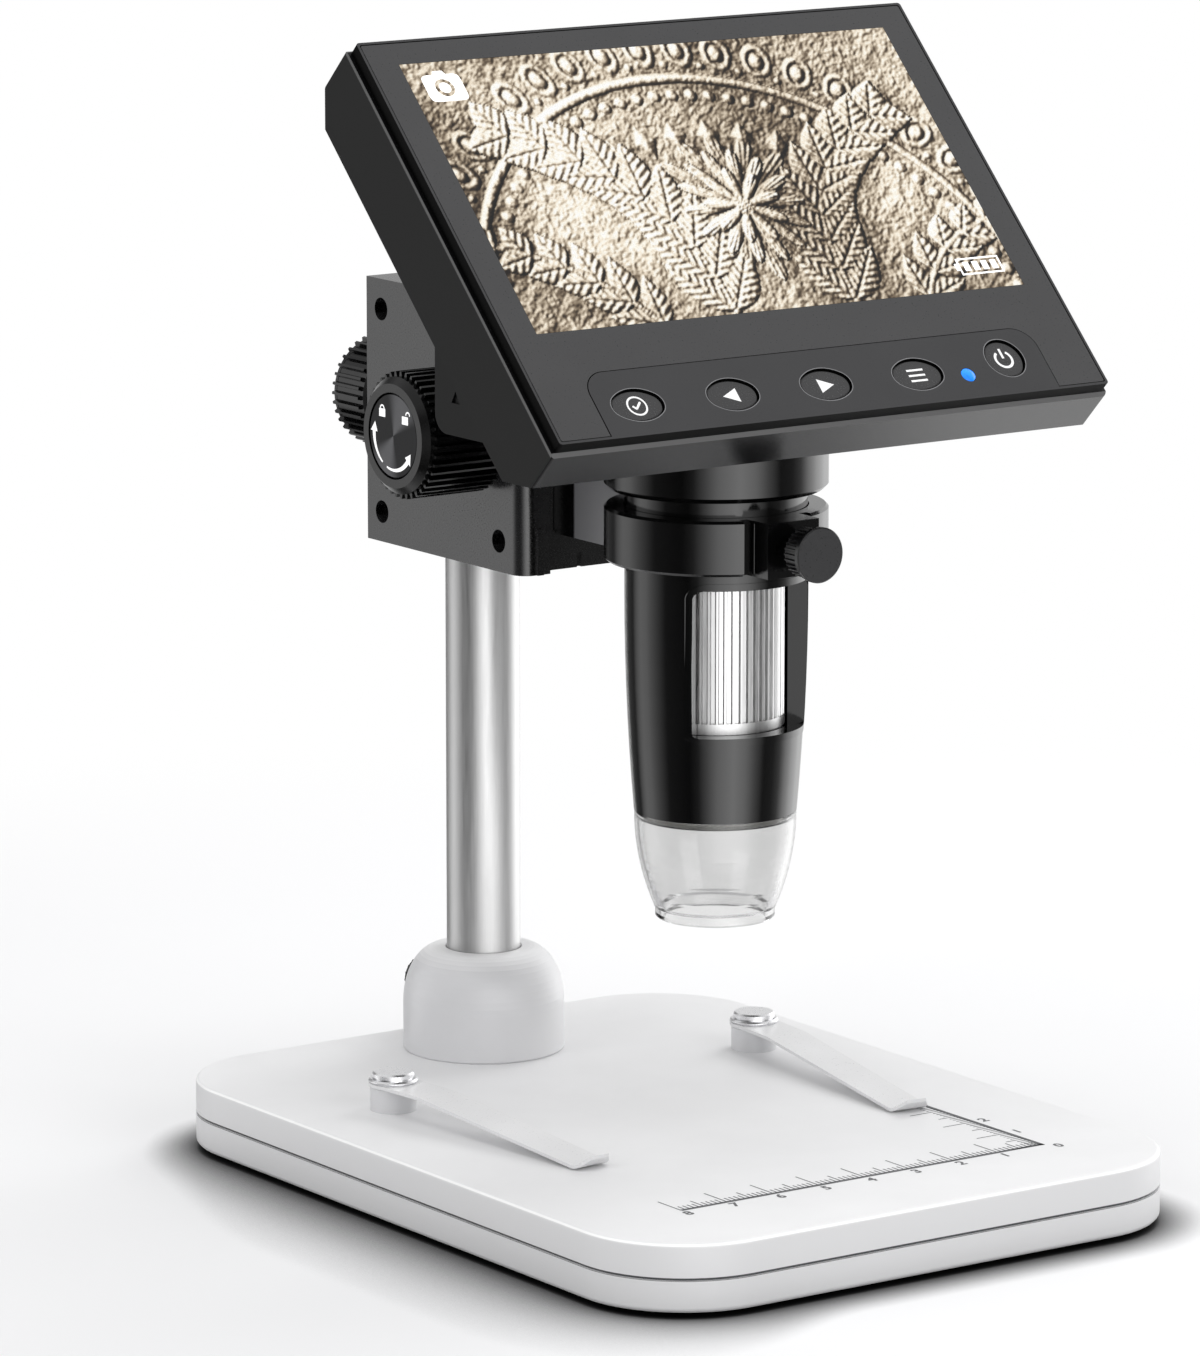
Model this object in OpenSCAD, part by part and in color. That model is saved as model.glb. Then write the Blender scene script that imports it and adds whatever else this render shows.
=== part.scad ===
// Digital microscope with its own screen, on a column stand.
// X runs along the screen, Y from the screen side to the column side, Z up.
// The origin lies under the middle of the base plate, in the plane its feet stand on.

/* [Base] */
// Width of the base plate
base_w = 122; // [112:1:140]
// Depth of the base plate
base_l = 162.7; // [156:0.1:190]
// Height of the two base covers together
base_h = 12.3; // [11:0.1:18]
// Radius of the base plate's corners
base_r = 21; // [14:0.5:28]
// Height of the seam between the covers, above the underside
seam_h = 6.2; // [5:0.1:8]
// Rounding of the base plate's long edges
base_round = 0.8; // [0.5:0.1:2.5]
// Wall of the two base covers
base_wall = 2.2; // [1.6:0.1:2.6]
// Diameter of a rubber foot
foot_d = 13; // [8:0.5:16]
// How far a foot stands out of the underside
foot_out = 1; // [0.6:0.1:3]

/* [Column] */
// Diameter of the column tube
column_d = 14; // [12:0.1:16]
// Wall of the column tube
column_wall = 1.5; // [1:0.1:2.5]
// Length of the column tube
column_l = 187; // [180:1:230]
// Distance from the base plate's middle to the column
column_y = 60.7; // [58:0.1:62]
// Width of the socket at its foot
socket_d = 30.6; // [27:0.1:34]
// Height of the socket
socket_h = 19.6; // [17:0.1:26]
// Height of the socket's lock screw above the base plate
socket_screw_h = 9.5; // [7:0.1:11]

/* [Stage clips] */
// Distance from the base plate's side to a clip post
clip_inset = 20; // [18:0.1:26]
// Distance from the base plate's middle to the clip posts
clip_y = 29.8; // [20:0.1:34]
// Diameter of a clip's button
clip_d = 9.2; // [8:0.1:10]
// Height of a clip post
clip_post_h = 4.5; // [3:0.1:7]
// Reach of a clip from its post to its bend
clip_reach = 55.8; // [40:0.1:60]
// Width of a clip at its tip
clip_tip_w = 7.6; // [5:0.1:8]
// Thickness of a clip's spring strip
clip_t = 0.6; // [0.4:0.05:0.8]
// Angle that a clip points inwards
clip_toe = 5.5; // [0:0.5:8]

/* [Carriage] */
// Width of the carriage block
block_w = 30; // [28:0.5:34]
// Height of the carriage block
block_h = 49.8; // [46:0.1:56]
// Distance from the column's axis to the block's back
block_back = 16.3; // [15:0.1:20]
// Distance from the column's axis to the block's front
block_front = 34.8; // [34.2:0.1:36]
// Height of the block's underside above the base plate
block_rise = 97.2; // [94:0.1:110]
// Diameter of the clamp screws' heads
block_screw_d = 4; // [3.4:0.1:4.6]
// Diameter of the height lock knob
height_knob_d = 21.6; // [18:0.1:26]
// Length of the height lock knob's grip
height_knob_l = 10.8; // [8:0.1:16]
// Length of the hub between that grip and the block
height_hub_l = 8.3; // [4:0.1:12]

/* [Focus drive] */
// Distance from the column's axis to the focus shaft
shaft_front = 22.5; // [22.3:0.1:22.7]
// Height of the focus shaft above the block's underside
shaft_rise = 26.4; // [25:0.1:28]
// Diameter of the focus shaft
shaft_d = 6; // [5:0.1:6.4]
// Diameter of the two side knobs
knob_d = 23.5; // [20:0.1:26]
// Length of the two side knobs
knob_l = 19.3; // [16:0.1:24]
// Module of the rack and pinion
gear_module = 0.8; // [0.76:0.01:0.82]
// Travel of the focus slide
focus_travel = 13; // [8:0.5:13]

/* [Scope] */
// Distance from the base plate's middle to the scope's axis, towards the front
scope_front = 14.2; // [12:0.1:16]
// Outer diameter of the scope's tube
scope_d = 33; // [32:0.1:34]
// Height of the scope tube's lower end above the base plate
scope_rise = 59.3; // [56:0.1:64]
// Outer diameter of the ring and of the neck above it
ring_d = 40.4; // [39:0.1:44]
// Height of the ring
ring_h = 10; // [8:0.1:12]
// Diameter of the ring's thumb screw
thumb_d = 10; // [8:0.1:12]
// Diameter of the ribbed focus wheel
wheel_d = 24.8; // [24.6:0.1:25]
// Half the angle that the wheel's window takes up
window_angle = 51; // [40:1:55]
// Wall of the clear hood
hood_wall = 1.2; // [1:0.1:1.4]

/* [Screen] */
// Thickness of the screen housing
screen_t = 17.8; // [17:0.1:20]
// Width of the visible picture
picture_w = 106.6; // [96:0.1:114]
// Height of the visible picture
picture_h = 60.4; // [54:0.1:66]
// Width of the face on each side of the picture
face_side = 7.2; // [6.4:0.1:10]
// Length of the face above the picture
face_above = 6; // [5.4:0.1:10]
// Length of the face below the picture, with the buttons
face_below = 24; // [23:0.1:30]
// Width of the wedge behind the screen
wedge_w = 80; // [70:1:90]
// Wall of the screen housing
case_wall = 2.2; // [1.6:0.1:2.4]

/* [Buttons] */
// Width of an oval button
button_w = 10.3; // [9:0.1:11]
// Height of an oval button
button_l = 6.4; // [5.6:0.1:7]
// Diameter of the round power button
power_d = 7.7; // [6:0.1:8.2]
// Distance between two buttons
button_pitch = 20.2; // [17:0.1:20.6]
// How far a button's cap lies below the face
button_sink = 0.35; // [0.2:0.05:0.5]
// Travel of a button
button_travel = 0.5; // [0.3:0.05:0.6]

/* [Hidden] */

$fn = 64;
// Running clearance of shafts and bores, on the radius
run = 0.05;
// Clearance of sliding flats
slide_gap = 0.1;
// Clearance between pieces that only lie next to each other
seat_gap = 0.12;
// Overshoot of a cut past the face it opens
cut = 1;
// Number of teeth on the pinion
pinion_teeth = 12;
// Lean of the screen from flat
screen_tilt = 45;

base_top = foot_out + base_h;
clip_pitch = base_w - 2 * clip_inset;
seam_z = foot_out + seam_h;
white = "#ececea";
black = "#1c1c1e";
steel = "#b9bcc0";
brass = "#b89a55";

// ---------- shared shapes ----------

module round_rect(w, l, r) {
    square([w - 2 * r, l], center = true);
    square([w, l - 2 * r], center = true);
    for (x = [-1, 1], y = [-1, 1])
        translate([x * (w / 2 - r), y * (l / 2 - r)]) circle(r);
}

// Right half of a slab's section: its upper and lower outer corners can be rounded
module edge_half(reach, h, r_top, r_bottom) {
    translate([0, r_bottom]) square([reach, h - r_top - r_bottom]);
    if (r_top > 0) {
        translate([0, h - r_top - r_top / 2]) square([reach - r_top, r_top * 1.5]);
        translate([reach - r_top, h - r_top]) circle(r_top);
    }
    if (r_bottom > 0) {
        square([reach - r_bottom, r_bottom * 1.5]);
        translate([reach - r_bottom, r_bottom]) circle(r_bottom);
    }
}

module edge_full(width, h, r_top, r_bottom) {
    edge_half(width / 2, h, r_top, r_bottom);
    mirror([1, 0]) edge_half(width / 2, h, r_top, r_bottom);
}

// Plate with round corners and softened long edges, standing on z = 0
module soft_slab(w, l, h, r, r_top, r_bottom) {
    for (x = [-1, 1], y = [-1, 1])
        translate([x * (w / 2 - r), y * (l / 2 - r), 0])
            rotate_extrude() edge_half(r, h, r_top, r_bottom);
    rotate([90, 0, 0])
        linear_extrude(l - 2 * r, center = true) edge_full(w, h, r_top, r_bottom);
    rotate([90, 0, 90])
        linear_extrude(w - 2 * r, center = true) edge_full(l, h, r_top, r_bottom);
}

module plain_slab(w, l, h, r) {
    linear_extrude(h) round_rect(w, l, r);
}

// Outline of a knob with straight ribs: each rib has a flat crown and a deep groove beside it
function rib_points(r, count, depth) = [
    for (i = [0 : count - 1], p = [[-0.27, 0], [-0.13, 1], [0.13, 1], [0.27, 0]])
        let (a = (i + p[0]) * 360 / count, q = r - depth * (1 - p[1]))
        [q * cos(a), q * sin(a)]
];

// Knob along +Z: ribbed grip between two plain bevelled rims
module ribbed_knob(r, l, count, depth, rim, bevel) {
    translate([0, 0, rim]) linear_extrude(l - 2 * rim) polygon(rib_points(r, count, depth));
    rim_r = r - depth + 0.05;
    lap = 0.3;
    for (end = [0, 1]) translate([0, 0, end * l]) mirror([0, 0, end]) {
        cylinder(h = bevel, r1 = rim_r - bevel, r2 = rim_r);
        translate([0, 0, bevel]) cylinder(h = rim + lap - bevel, r = rim_r);
    }
}

// ---------- base ----------

boss_x = base_w / 2 - 14;
boss_y = base_l / 2 - 14;
boss_r = 3.4;
base_screw_r = 1.5;
bolt_r = 3;
bolt_head_r = 5.2;
bolt_head_h = 1.6;
plate_t = 2;
plate_w = base_w - 44;
plate_l = base_l - 28;
floor_z = foot_out + base_wall;
plate_top = floor_z + plate_t;
rim_step = 0.5;
lip_t = 1.2;
lip_h = 1.6;

module at_corners(x, y) {
    for (sx = [-1, 1], sy = [-1, 1]) translate([sx * x, sy * y, 0]) children();
}

module base_top_cover() {
    color(white) difference() {
        union() {
            difference() {
                translate([0, 0, seam_z])
                    soft_slab(base_w, base_l, base_h - seam_h, base_r, base_round, 0);
                translate([0, 0, seam_z - cut])
                    plain_slab(base_w - 2 * base_wall, base_l - 2 * base_wall,
                               base_h - seam_h - base_wall + cut, base_r - base_wall);
            }
            translate([0, 0, seam_z]) at_corners(boss_x, boss_y)
                cylinder(h = base_h - seam_h - base_wall / 2, r = boss_r);
            // boss that carries the column's load down to the steel plate
            translate([0, column_y, plate_top])
                cylinder(h = base_top - plate_top - base_wall / 2, r = 2 * bolt_r + 2);
        }
        translate([0, 0, seam_z - cut]) at_corners(boss_x, boss_y)
            cylinder(h = base_h - seam_h - base_wall + cut, r = base_screw_r - 0.05);
        translate([0, column_y, plate_top - cut])
            cylinder(h = base_top - plate_top + 2 * cut, r = bolt_r + 0.2);
        for (x = [-1, 1]) translate([x * clip_pitch / 2, clip_y, base_top - base_wall - cut])
            cylinder(h = base_wall + 2 * cut, r = clip_pin_r + run);
    }
}

module base_bottom_cover() {
    inner_w = base_w - 2 * base_wall - 2 * seat_gap;
    inner_l = base_l - 2 * base_wall - 2 * seat_gap;
    color(white) difference() {
        union() {
            difference() {
                translate([0, 0, foot_out]) union() {
                    soft_slab(base_w, base_l, seam_h - rim_step, base_r, 0, base_round);
                    plain_slab(base_w - 2 * rim_step, base_l - 2 * rim_step, seam_h, base_r - rim_step);
                    // lip that stands up inside the top cover
                    plain_slab(inner_w, inner_l, seam_h + lip_h, base_r - base_wall - seat_gap);
                }
                translate([0, 0, floor_z])
                    plain_slab(inner_w - 2 * lip_t, inner_l - 2 * lip_t, base_h,
                               base_r - base_wall - seat_gap - lip_t);
            }
            translate([0, 0, foot_out]) at_corners(boss_x, boss_y)
                cylinder(h = seam_h, r = boss_r);
        }
        at_corners(boss_x, boss_y) {
            cylinder(h = seam_z + cut, r = base_screw_r + 0.15);
            cylinder(h = foot_out + foot_seat + screw_head_h + 0.3, r = screw_head_r + 0.2);
        }
        at_corners(boss_x, boss_y) cylinder(h = foot_out + foot_seat, r = foot_d / 2 + seat_gap);
        translate([0, column_y, 0]) cylinder(h = floor_z + cut, r = bolt_head_r + 0.5);
    }
}

module base_steel_plate() {
    color(steel) difference() {
        translate([0, (column_y + bolt_head_r + 6 - plate_l / 2), floor_z])
            plain_slab(plate_w, plate_l, plate_t, 6);
        translate([0, column_y, 0]) cylinder(h = base_top, r = bolt_r + 0.2);
    }
}

foot_seat = 0.8;
screw_head_r = 2.8;
screw_head_h = 1.6;

module base_feet() {
    color("#2a2a2c") at_corners(boss_x, boss_y)
        rotate_extrude() polygon([
            [0, 0], [foot_d / 2 - 0.4, 0], [foot_d / 2, 0.4], [foot_d / 2, foot_out + foot_seat],
            [0, foot_out + foot_seat]
        ]);
}

module base_screws() {
    head_z = foot_out + foot_seat;
    color(steel) at_corners(boss_x, boss_y) translate([0, 0, head_z + 0.1]) {
        cylinder(h = screw_head_h, r = screw_head_r);
        cylinder(h = seam_h - foot_seat + 3, r = base_screw_r - 0.1);
    }
}

// ---------- column ----------

socket_r = socket_d / 2;
column_r = column_d / 2;
socket_top_r = column_r + 1.8;
lock_stud_r = 2;
lock_z = base_top + socket_screw_h;

// Outline of the socket: a short straight wall, then a quarter ellipse up to a flat top
socket_wall_h = socket_h * 0.46;
socket_edge = 0.3;
function socket_points(steps) = concat(
    [[column_r + run, 0], [socket_r - socket_edge, 0], [socket_r, socket_edge]],
    [for (i = [0 : steps]) let (t = 90 * i / steps) [
        socket_top_r + (socket_r - socket_top_r) * cos(t),
        socket_wall_h + (socket_h - socket_wall_h) * sin(t)
    ]],
    [[column_r + socket_edge, socket_h], [column_r + run, socket_h - socket_edge]]
);

module column_socket() {
    color(white) translate([0, column_y, base_top]) difference() {
        rotate_extrude() polygon(socket_points(12));
        translate([0, 0, socket_screw_h]) rotate([-90, 0, 0])
            cylinder(h = socket_r + cut, r = lock_stud_r + run);
    }
}

tube_foot_h = 14;

module column_tube() {
    color("#d5d7da") translate([0, column_y, base_top]) difference() {
        cylinder(h = column_l, r = column_r);
        translate([0, 0, tube_foot_h]) cylinder(h = column_l, r = column_r - column_wall);
        translate([0, 0, -cut]) cylinder(h = tube_foot_h - 2 + cut, r = bolt_r + run);
    }
}

module column_bolt() {
    color(steel) translate([0, column_y, 0]) {
        translate([0, 0, floor_z - bolt_head_h]) cylinder(h = bolt_head_h, r = bolt_head_r, $fn = 6);
        translate([0, 0, floor_z - 0.1])
            cylinder(h = base_top - floor_z + tube_foot_h - 4, r = bolt_r);
    }
}

module column_cap() {
    color(black) translate([0, column_y, base_top + column_l]) {
        rotate_extrude() polygon([
            [0, 0], [column_r, 0], [column_r, 1.4], [column_r - 1, 2.4], [0, 2.4]
        ]);
        translate([0, 0, -6]) cylinder(h = 6.1, r = column_r - column_wall - run);
    }
}

module column_lock_screw() {
    head_l = 5.4;
    head_y = socket_r + 0.5;
    color(black) translate([0, column_y, lock_z]) rotate([-90, 0, 0]) {
        translate([0, 0, head_y]) ribbed_knob(4.5, head_l, 20, 0.4, 0.7, 0.3);
        translate([0, 0, column_r + 0.3]) cylinder(h = head_y - column_r, r = lock_stud_r);
    }
}

// ---------- stage clips ----------

clip_pin_r = 1.5;
clip_edge = 0.3;
post_r = clip_d / 2 - clip_edge;
strip_low = 0.35;
strip_bend = 12;
nose_l = 2.8;

module at_clip(side) {
    translate([side * clip_pitch / 2, clip_y, base_top]) rotate([0, 0, -side * clip_toe]) children();
}

module clip_post(side) {
    color(white) at_clip(side) difference() {
        rotate_extrude() polygon([
            [0, 0], [post_r, 0], [post_r, clip_post_h - clip_edge], [post_r - clip_edge, clip_post_h],
            [0, clip_post_h]
        ]);
        translate([0, 0, -cut]) cylinder(h = clip_post_h + 2 * cut, r = clip_pin_r + run);
    }
}

// Side view of a strip, along its length: level over the post, then falling to the bend,
// where a short lip turns up
strip_side = [
    [clip_d, clip_post_h + 0.1], [-strip_bend, clip_post_h + 0.1], [-clip_reach + 1, strip_low],
    [-clip_reach, strip_low], [-clip_reach - 0.35 * nose_l, strip_low + 0.4],
    [-clip_reach - nose_l, strip_low + 1.9]
];

module clip_strip(side) {
    top = [for (i = [len(strip_side) - 1 : -1 : 0]) strip_side[i] + [0, clip_t]];
    color("#e2e2e0") at_clip(side) difference() {
        union() {
            translate([0, 0, clip_post_h + 0.1]) cylinder(h = clip_t, r = clip_d / 2);
            intersection() {
                rotate([90, 0, 90]) linear_extrude(clip_d + 2, center = true)
                    polygon(concat(strip_side, top));
                linear_extrude(clip_post_h + 4) polygon([
                    [-post_r, -clip_edge], [post_r, -clip_edge], [clip_tip_w / 2, -clip_reach],
                    [clip_tip_w / 2 - 0.6, -clip_reach - 0.5 * nose_l],
                    [clip_tip_w / 4, -clip_reach - nose_l - 0.1],
                    [-clip_tip_w / 4, -clip_reach - nose_l - 0.1],
                    [-clip_tip_w / 2 + 0.6, -clip_reach - 0.5 * nose_l], [-clip_tip_w / 2, -clip_reach]
                ]);
            }
        }
        cylinder(h = clip_post_h + 4, r = clip_pin_r + 0.15);
    }
}

module clip_button(side) {
    seat = clip_post_h + 0.1 + clip_t;
    flange_h = 0.8;
    cap_h = 2;
    cap_r = clip_d / 2 - 0.7;
    color("#d8d9db") at_clip(side) {
        // a flange, a groove, and a flat cap with a softened edge
        translate([0, 0, seat]) rotate_extrude() polygon([
            [0, 0], [clip_d / 2 - clip_edge, 0], [clip_d / 2, clip_edge], [clip_d / 2, flange_h - clip_edge],
            [clip_d / 2 - clip_edge, flange_h], [cap_r - clip_edge, flange_h],
            [cap_r - clip_edge, flange_h + 0.25], [cap_r, flange_h + 0.25],
            [cap_r, cap_h - clip_edge], [cap_r - clip_edge, cap_h], [0, cap_h]
        ]);
        translate([0, 0, -base_wall + 0.2]) cylinder(h = seat + base_wall, r = clip_pin_r);
    }
}

module clip_left_post() clip_post(-1);
module clip_left_strip() clip_strip(-1);
module clip_left_button() clip_button(-1);
module clip_right_post() clip_post(1);
module clip_right_strip() clip_strip(1);
module clip_right_button() clip_button(1);

// ---------- carriage ----------

block_z = base_top + block_rise;
block_front_y = column_y - block_front;
block_back_y = column_y + block_back;
block_corner = 3;
sleeve_r = column_r + 2.5;
sleeve_inset = 4;
shaft_y = column_y - shaft_front;
shaft_z = block_z + shaft_rise;
screw_in_back = 4.9;
screw_in_front = 7.3;
screw_in_z = 5.7;
screw_sink = 2.4;
screw_head_l = 2.2;

// The slide's slot: a recess in the block's front, a mouth for the slide's neck, and behind it
// a wider pocket for the slide's flange
recess_half = 8.5;
recess_y = block_front_y + 3;
mouth_half = 5.8;
flange_half = 8;
flange_t = 1.2;
lip_y = recess_y + 1.5;
flange_y = lip_y + slide_gap;
slider_l = 22;
slider_z = block_z + 7.6;
slot_z = slider_z - 0.3;
slot_l = slider_l + focus_travel + 0.6;

pitch_r = gear_module * pinion_teeth / 2;
rack_pitch_y = shaft_y - pitch_r;
rack_half = 4;
pinion_half = 3.6;
rack_root = 1;
rack_tip = 0.5;
pinion_out = 0.75;
pinion_in = 0.85;
bush_r = shaft_d / 2 + 1.5;
bush_l = 6;
block_half = block_w / 2;

module block_outline() {
    w = block_half;
    difference() {
        union() {
            translate([-w, block_front_y + block_corner])
                square([block_w, block_back_y - block_front_y - block_corner]);
            translate([-w + block_corner, block_front_y])
                square([block_w - 2 * block_corner, block_corner * 2]);
            for (x = [-1, 1]) translate([x * (w - block_corner), block_front_y + block_corner])
                circle(block_corner);
        }
        translate([-recess_half, block_front_y - cut])
            square([2 * recess_half, recess_y - block_front_y + cut]);
    }
}

module at_block_screws() {
    for (y = [block_back_y - screw_in_back, block_front_y + screw_in_front],
         z = [block_z + screw_in_z, block_z + block_h - screw_in_z])
        translate([0, y, z]) rotate([0, 90, 0]) children();
}

module block_cuts() {
    translate([0, column_y, block_z - cut]) cylinder(h = block_h + 2 * cut, r = column_r + 0.4);
    translate([0, column_y, block_z + sleeve_inset])
        cylinder(h = block_h - 2 * sleeve_inset, r = sleeve_r + run);
    // slot for the slide
    translate([-mouth_half, recess_y - cut, slot_z])
        cube([2 * mouth_half, lip_y - recess_y + 2 * cut, slot_l]);
    translate([-flange_half - slide_gap, lip_y, slot_z])
        cube([2 * (flange_half + slide_gap), flange_t + 2 * slide_gap, slot_l]);
    translate([-rack_half - 0.3, lip_y, slot_z])
        cube([2 * rack_half + 0.6, rack_pitch_y + rack_tip + 0.4 - lip_y, slot_l]);
    // pinion, shaft and bushes
    translate([0, shaft_y, shaft_z]) rotate([0, 90, 0]) {
        translate([0, 0, -rack_half - 0.3]) cylinder(h = 2 * rack_half + 0.6, r = pitch_r + pinion_out + 0.4);
        translate([0, 0, -block_half - cut]) cylinder(h = block_w + 2 * cut, r = shaft_d / 2 + 0.3);
        for (s = [-1, 1]) translate([0, 0, s * (block_half - bush_l / 2 + cut / 2)])
            cylinder(h = bush_l + cut, r = bush_r, center = true);
    }
    // height lock stud
    translate([0, column_y, block_z + block_h / 2]) rotate([-90, 0, 0])
        cylinder(h = block_back + cut, r = height_stud_r + run);
    // nick where the two halves meet, at the foot of the front
    translate([-0.5, recess_y - cut, block_z - cut]) cube([1, cut + 0.8, cut + 2.6]);
    at_block_screws() {
        translate([0, 0, -block_half - cut])
            cylinder(h = screw_sink + screw_head_l + cut, r = block_screw_d / 2 + 0.15);
        translate([0, 0, -block_half]) cylinder(h = block_half + cut, r = 1.15);
        cylinder(h = block_half - 3, r = 1.05);
    }
}

module carriage_half(side) {
    color(black) difference() {
        union() {
            intersection() {
                translate([0, 0, block_z]) linear_extrude(block_h) block_outline();
                translate([side > 0 ? 0 : -block_w, 0, block_z - cut])
                    cube([block_w, base_l, block_h + 2 * cut]);
            }
            // bead that guides the slide's neck
            translate([side * 10.9 - 0.7, block_front_y - 0.5, block_z]) cube([1.4, 1, 8.6]);
        }
        block_cuts();
    }
}

module carriage_left_half() carriage_half(-1);
module carriage_right_half() carriage_half(1);

module carriage_screws() {
    color("#303033") at_block_screws() difference() {
        union() {
            translate([0, 0, -block_half + screw_sink]) cylinder(h = screw_head_l, r = block_screw_d / 2);
            translate([0, 0, -block_half + screw_sink + screw_head_l - 0.1])
                cylinder(h = block_w - screw_sink - screw_head_l - 5, r = 1.0);
        }
        translate([0, 0, -block_half + screw_sink - 0.1]) cylinder(h = 1.3, r = 1.2, $fn = 6);
    }
}

module column_sleeve() {
    slit = 1.2;
    color("#dcdcd4") translate([0, column_y, block_z + sleeve_inset + 0.2]) difference() {
        cylinder(h = block_h - 2 * sleeve_inset - 0.4, r = sleeve_r);
        translate([0, 0, -cut]) cylinder(h = block_h, r = column_r + run);
        translate([-slit / 2, -sleeve_r - cut, -cut]) cube([slit, sleeve_r - column_r + 2 * cut, block_h]);
    }
}

height_stud_r = 2.5;

module height_lock_knob() {
    gap = 0.5;
    hub_r = height_knob_d / 2 - 3.5;
    color(black) translate([0, 0, block_z + block_h / 2]) rotate([-90, 0, 0]) {
        translate([0, 0, block_back_y + gap]) cylinder(h = height_hub_l, r = hub_r);
        translate([0, 0, block_back_y + gap + height_hub_l - 0.1])
            ribbed_knob(height_knob_d / 2, height_knob_l + 0.1, 36, 0.9, 1, 0.5);
        translate([0, 0, column_y + sleeve_r + 0.4])
            cylinder(h = block_back - sleeve_r + gap, r = height_stud_r);
    }
}

// ---------- focus drive ----------

function involute(a) = tan(a) * 180 / PI - a;
pressure = 20;
base_circle = pitch_r * cos(pressure);
backlash = 0.15;
tooth_half = 90 / pinion_teeth - backlash / pitch_r * 45 / PI;
flank_steps = 4;

// One flank, from root to tip: radius and angle from the tooth's middle
function flank_point(r) =
    let (turn = r > base_circle ? involute(acos(base_circle / r)) : 0)
    [r, tooth_half + involute(pressure) - turn];
flank = concat(
    [flank_point(pitch_r - pinion_in)],
    [for (i = [0 : flank_steps])
        flank_point(base_circle + (pitch_r + pinion_out - base_circle) * i / flank_steps)]
);
pinion_outline = [
    for (t = [0 : pinion_teeth - 1], k = [0 : 2 * len(flank) - 1])
        let (up = k < len(flank), f = flank[up ? k : 2 * len(flank) - 1 - k],
             a = t * 360 / pinion_teeth + (up ? -f[1] : f[1]))
        [f[0] * cos(a), f[0] * sin(a)]
];

module focus_pinion() {
    // a tooth points at the rack, between two of its teeth
    color(brass) translate([0, shaft_y, shaft_z]) rotate([90, 0, 90]) difference() {
        rotate([0, 0, 180]) linear_extrude(2 * pinion_half, center = true) polygon(pinion_outline);
        cylinder(h = 4 * pinion_half, r = shaft_d / 2 + 0.02, center = true);
    }
}

lock_knob_gap = 0.6;
shaft_end_l = 9;

module focus_shaft() {
    color(steel) translate([0, shaft_y, shaft_z]) rotate([0, 90, 0])
        translate([0, 0, -block_half - shaft_end_l]) cylinder(h = block_w + 2 * shaft_end_l, r = shaft_d / 2);
}

module shaft_bushes() {
    color(brass) translate([0, shaft_y, shaft_z]) rotate([0, 90, 0])
        for (s = [-1, 1]) translate([0, 0, s * (block_half - bush_l / 2)]) difference() {
            cylinder(h = bush_l - 0.1, r = bush_r - 0.02, center = true);
            cylinder(h = bush_l + cut, r = shaft_d / 2 + run, center = true);
        }
}

disc_r = knob_d / 2 - 3.85;
disc_t = 1.2;
disc_sink = 0.15;

// Knob along -X or +X, beside the block, with a blind bore for the shaft's end
module side_knob(side, bore_gap) {
    translate([side * (block_half + lock_knob_gap), shaft_y, shaft_z]) rotate([0, side * 90, 0])
        difference() {
            ribbed_knob(knob_d / 2, knob_l, 42, 1, 1.8, 1.2);
            translate([0, 0, -cut]) cylinder(h = shaft_end_l + 0.2 + cut, r = shaft_d / 2 + bore_gap);
            translate([0, 0, knob_l - disc_t + 0.1]) cylinder(h = disc_t + cut, r = disc_r + 0.1);
        }
}

module focus_knob() color(black) side_knob(1, 0.02);
module focus_lock_knob() color(black) side_knob(-1, run);

module lock_knob_disc() {
    t = disc_t - disc_sink - 0.15;
    color("#2b2b2e") translate([-block_half - lock_knob_gap - knob_l + disc_sink, shaft_y, shaft_z])
        rotate([0, 90, 0]) rotate_extrude()
            polygon([[0, 0], [disc_r - 0.3, 0], [disc_r, 0.3], [disc_r, t], [0, t]]);
}

// ---------- slide, arm and ring ----------

ring_z = slider_z + 0.4;
ring_r = ring_d / 2;
scope_y = -scope_front;
scope_r = scope_d / 2;
web_half = mouth_half - 0.5;
web_z = slider_z - 0.8;
web_h = 12.8;
pad_half = 5.6;
pad_front = ring_r + 3.2;
thumb_stud_r = 1.75;
thumb_gap = 2.8;
thumb_l = 5.3;
thumb_face = 1;

module scope_arm() {
    color(black) difference() {
        union() {
            // slide
            translate([-mouth_half + slide_gap, recess_y - 0.5, slider_z])
                cube([2 * (mouth_half - slide_gap), flange_y - recess_y + 1, slider_l]);
            translate([-flange_half, flange_y, slider_z]) cube([2 * flange_half, flange_t, slider_l]);
            // web
            translate([-web_half, scope_y, web_z]) cube([2 * web_half, recess_y - scope_y - seat_gap, web_h]);
            // ring
            translate([0, scope_y, ring_z]) rotate_extrude() polygon([
                [0, 0], [ring_r - 0.5, 0], [ring_r, 0.5], [ring_r, ring_h - 0.5],
                [ring_r - 0.5, ring_h], [0, ring_h]
            ]);
            translate([-pad_half, scope_y - pad_front, ring_z]) cube([2 * pad_half, pad_front, ring_h]);
        }
        translate([0, scope_y, ring_z - 5]) cylinder(h = ring_h + 12, r = scope_r + 0.2);
        // grooves beside the pad
        for (x = [-1, 1]) translate([x * (pad_half + 0.95), scope_y - ring_r, ring_z - cut])
            translate([-0.85, -cut, 0]) cube([1.7, 3 + cut, ring_h + 2 * cut]);
        translate([0, scope_y, ring_z + ring_h / 2]) rotate([90, 0, 0])
            cylinder(h = pad_front + cut, r = thumb_stud_r + run);
    }
}

rack_pitch = PI * gear_module;
rack_teeth = floor(slider_l / rack_pitch);
rack_tooth_half = rack_pitch / 4 - backlash / 4;

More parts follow.
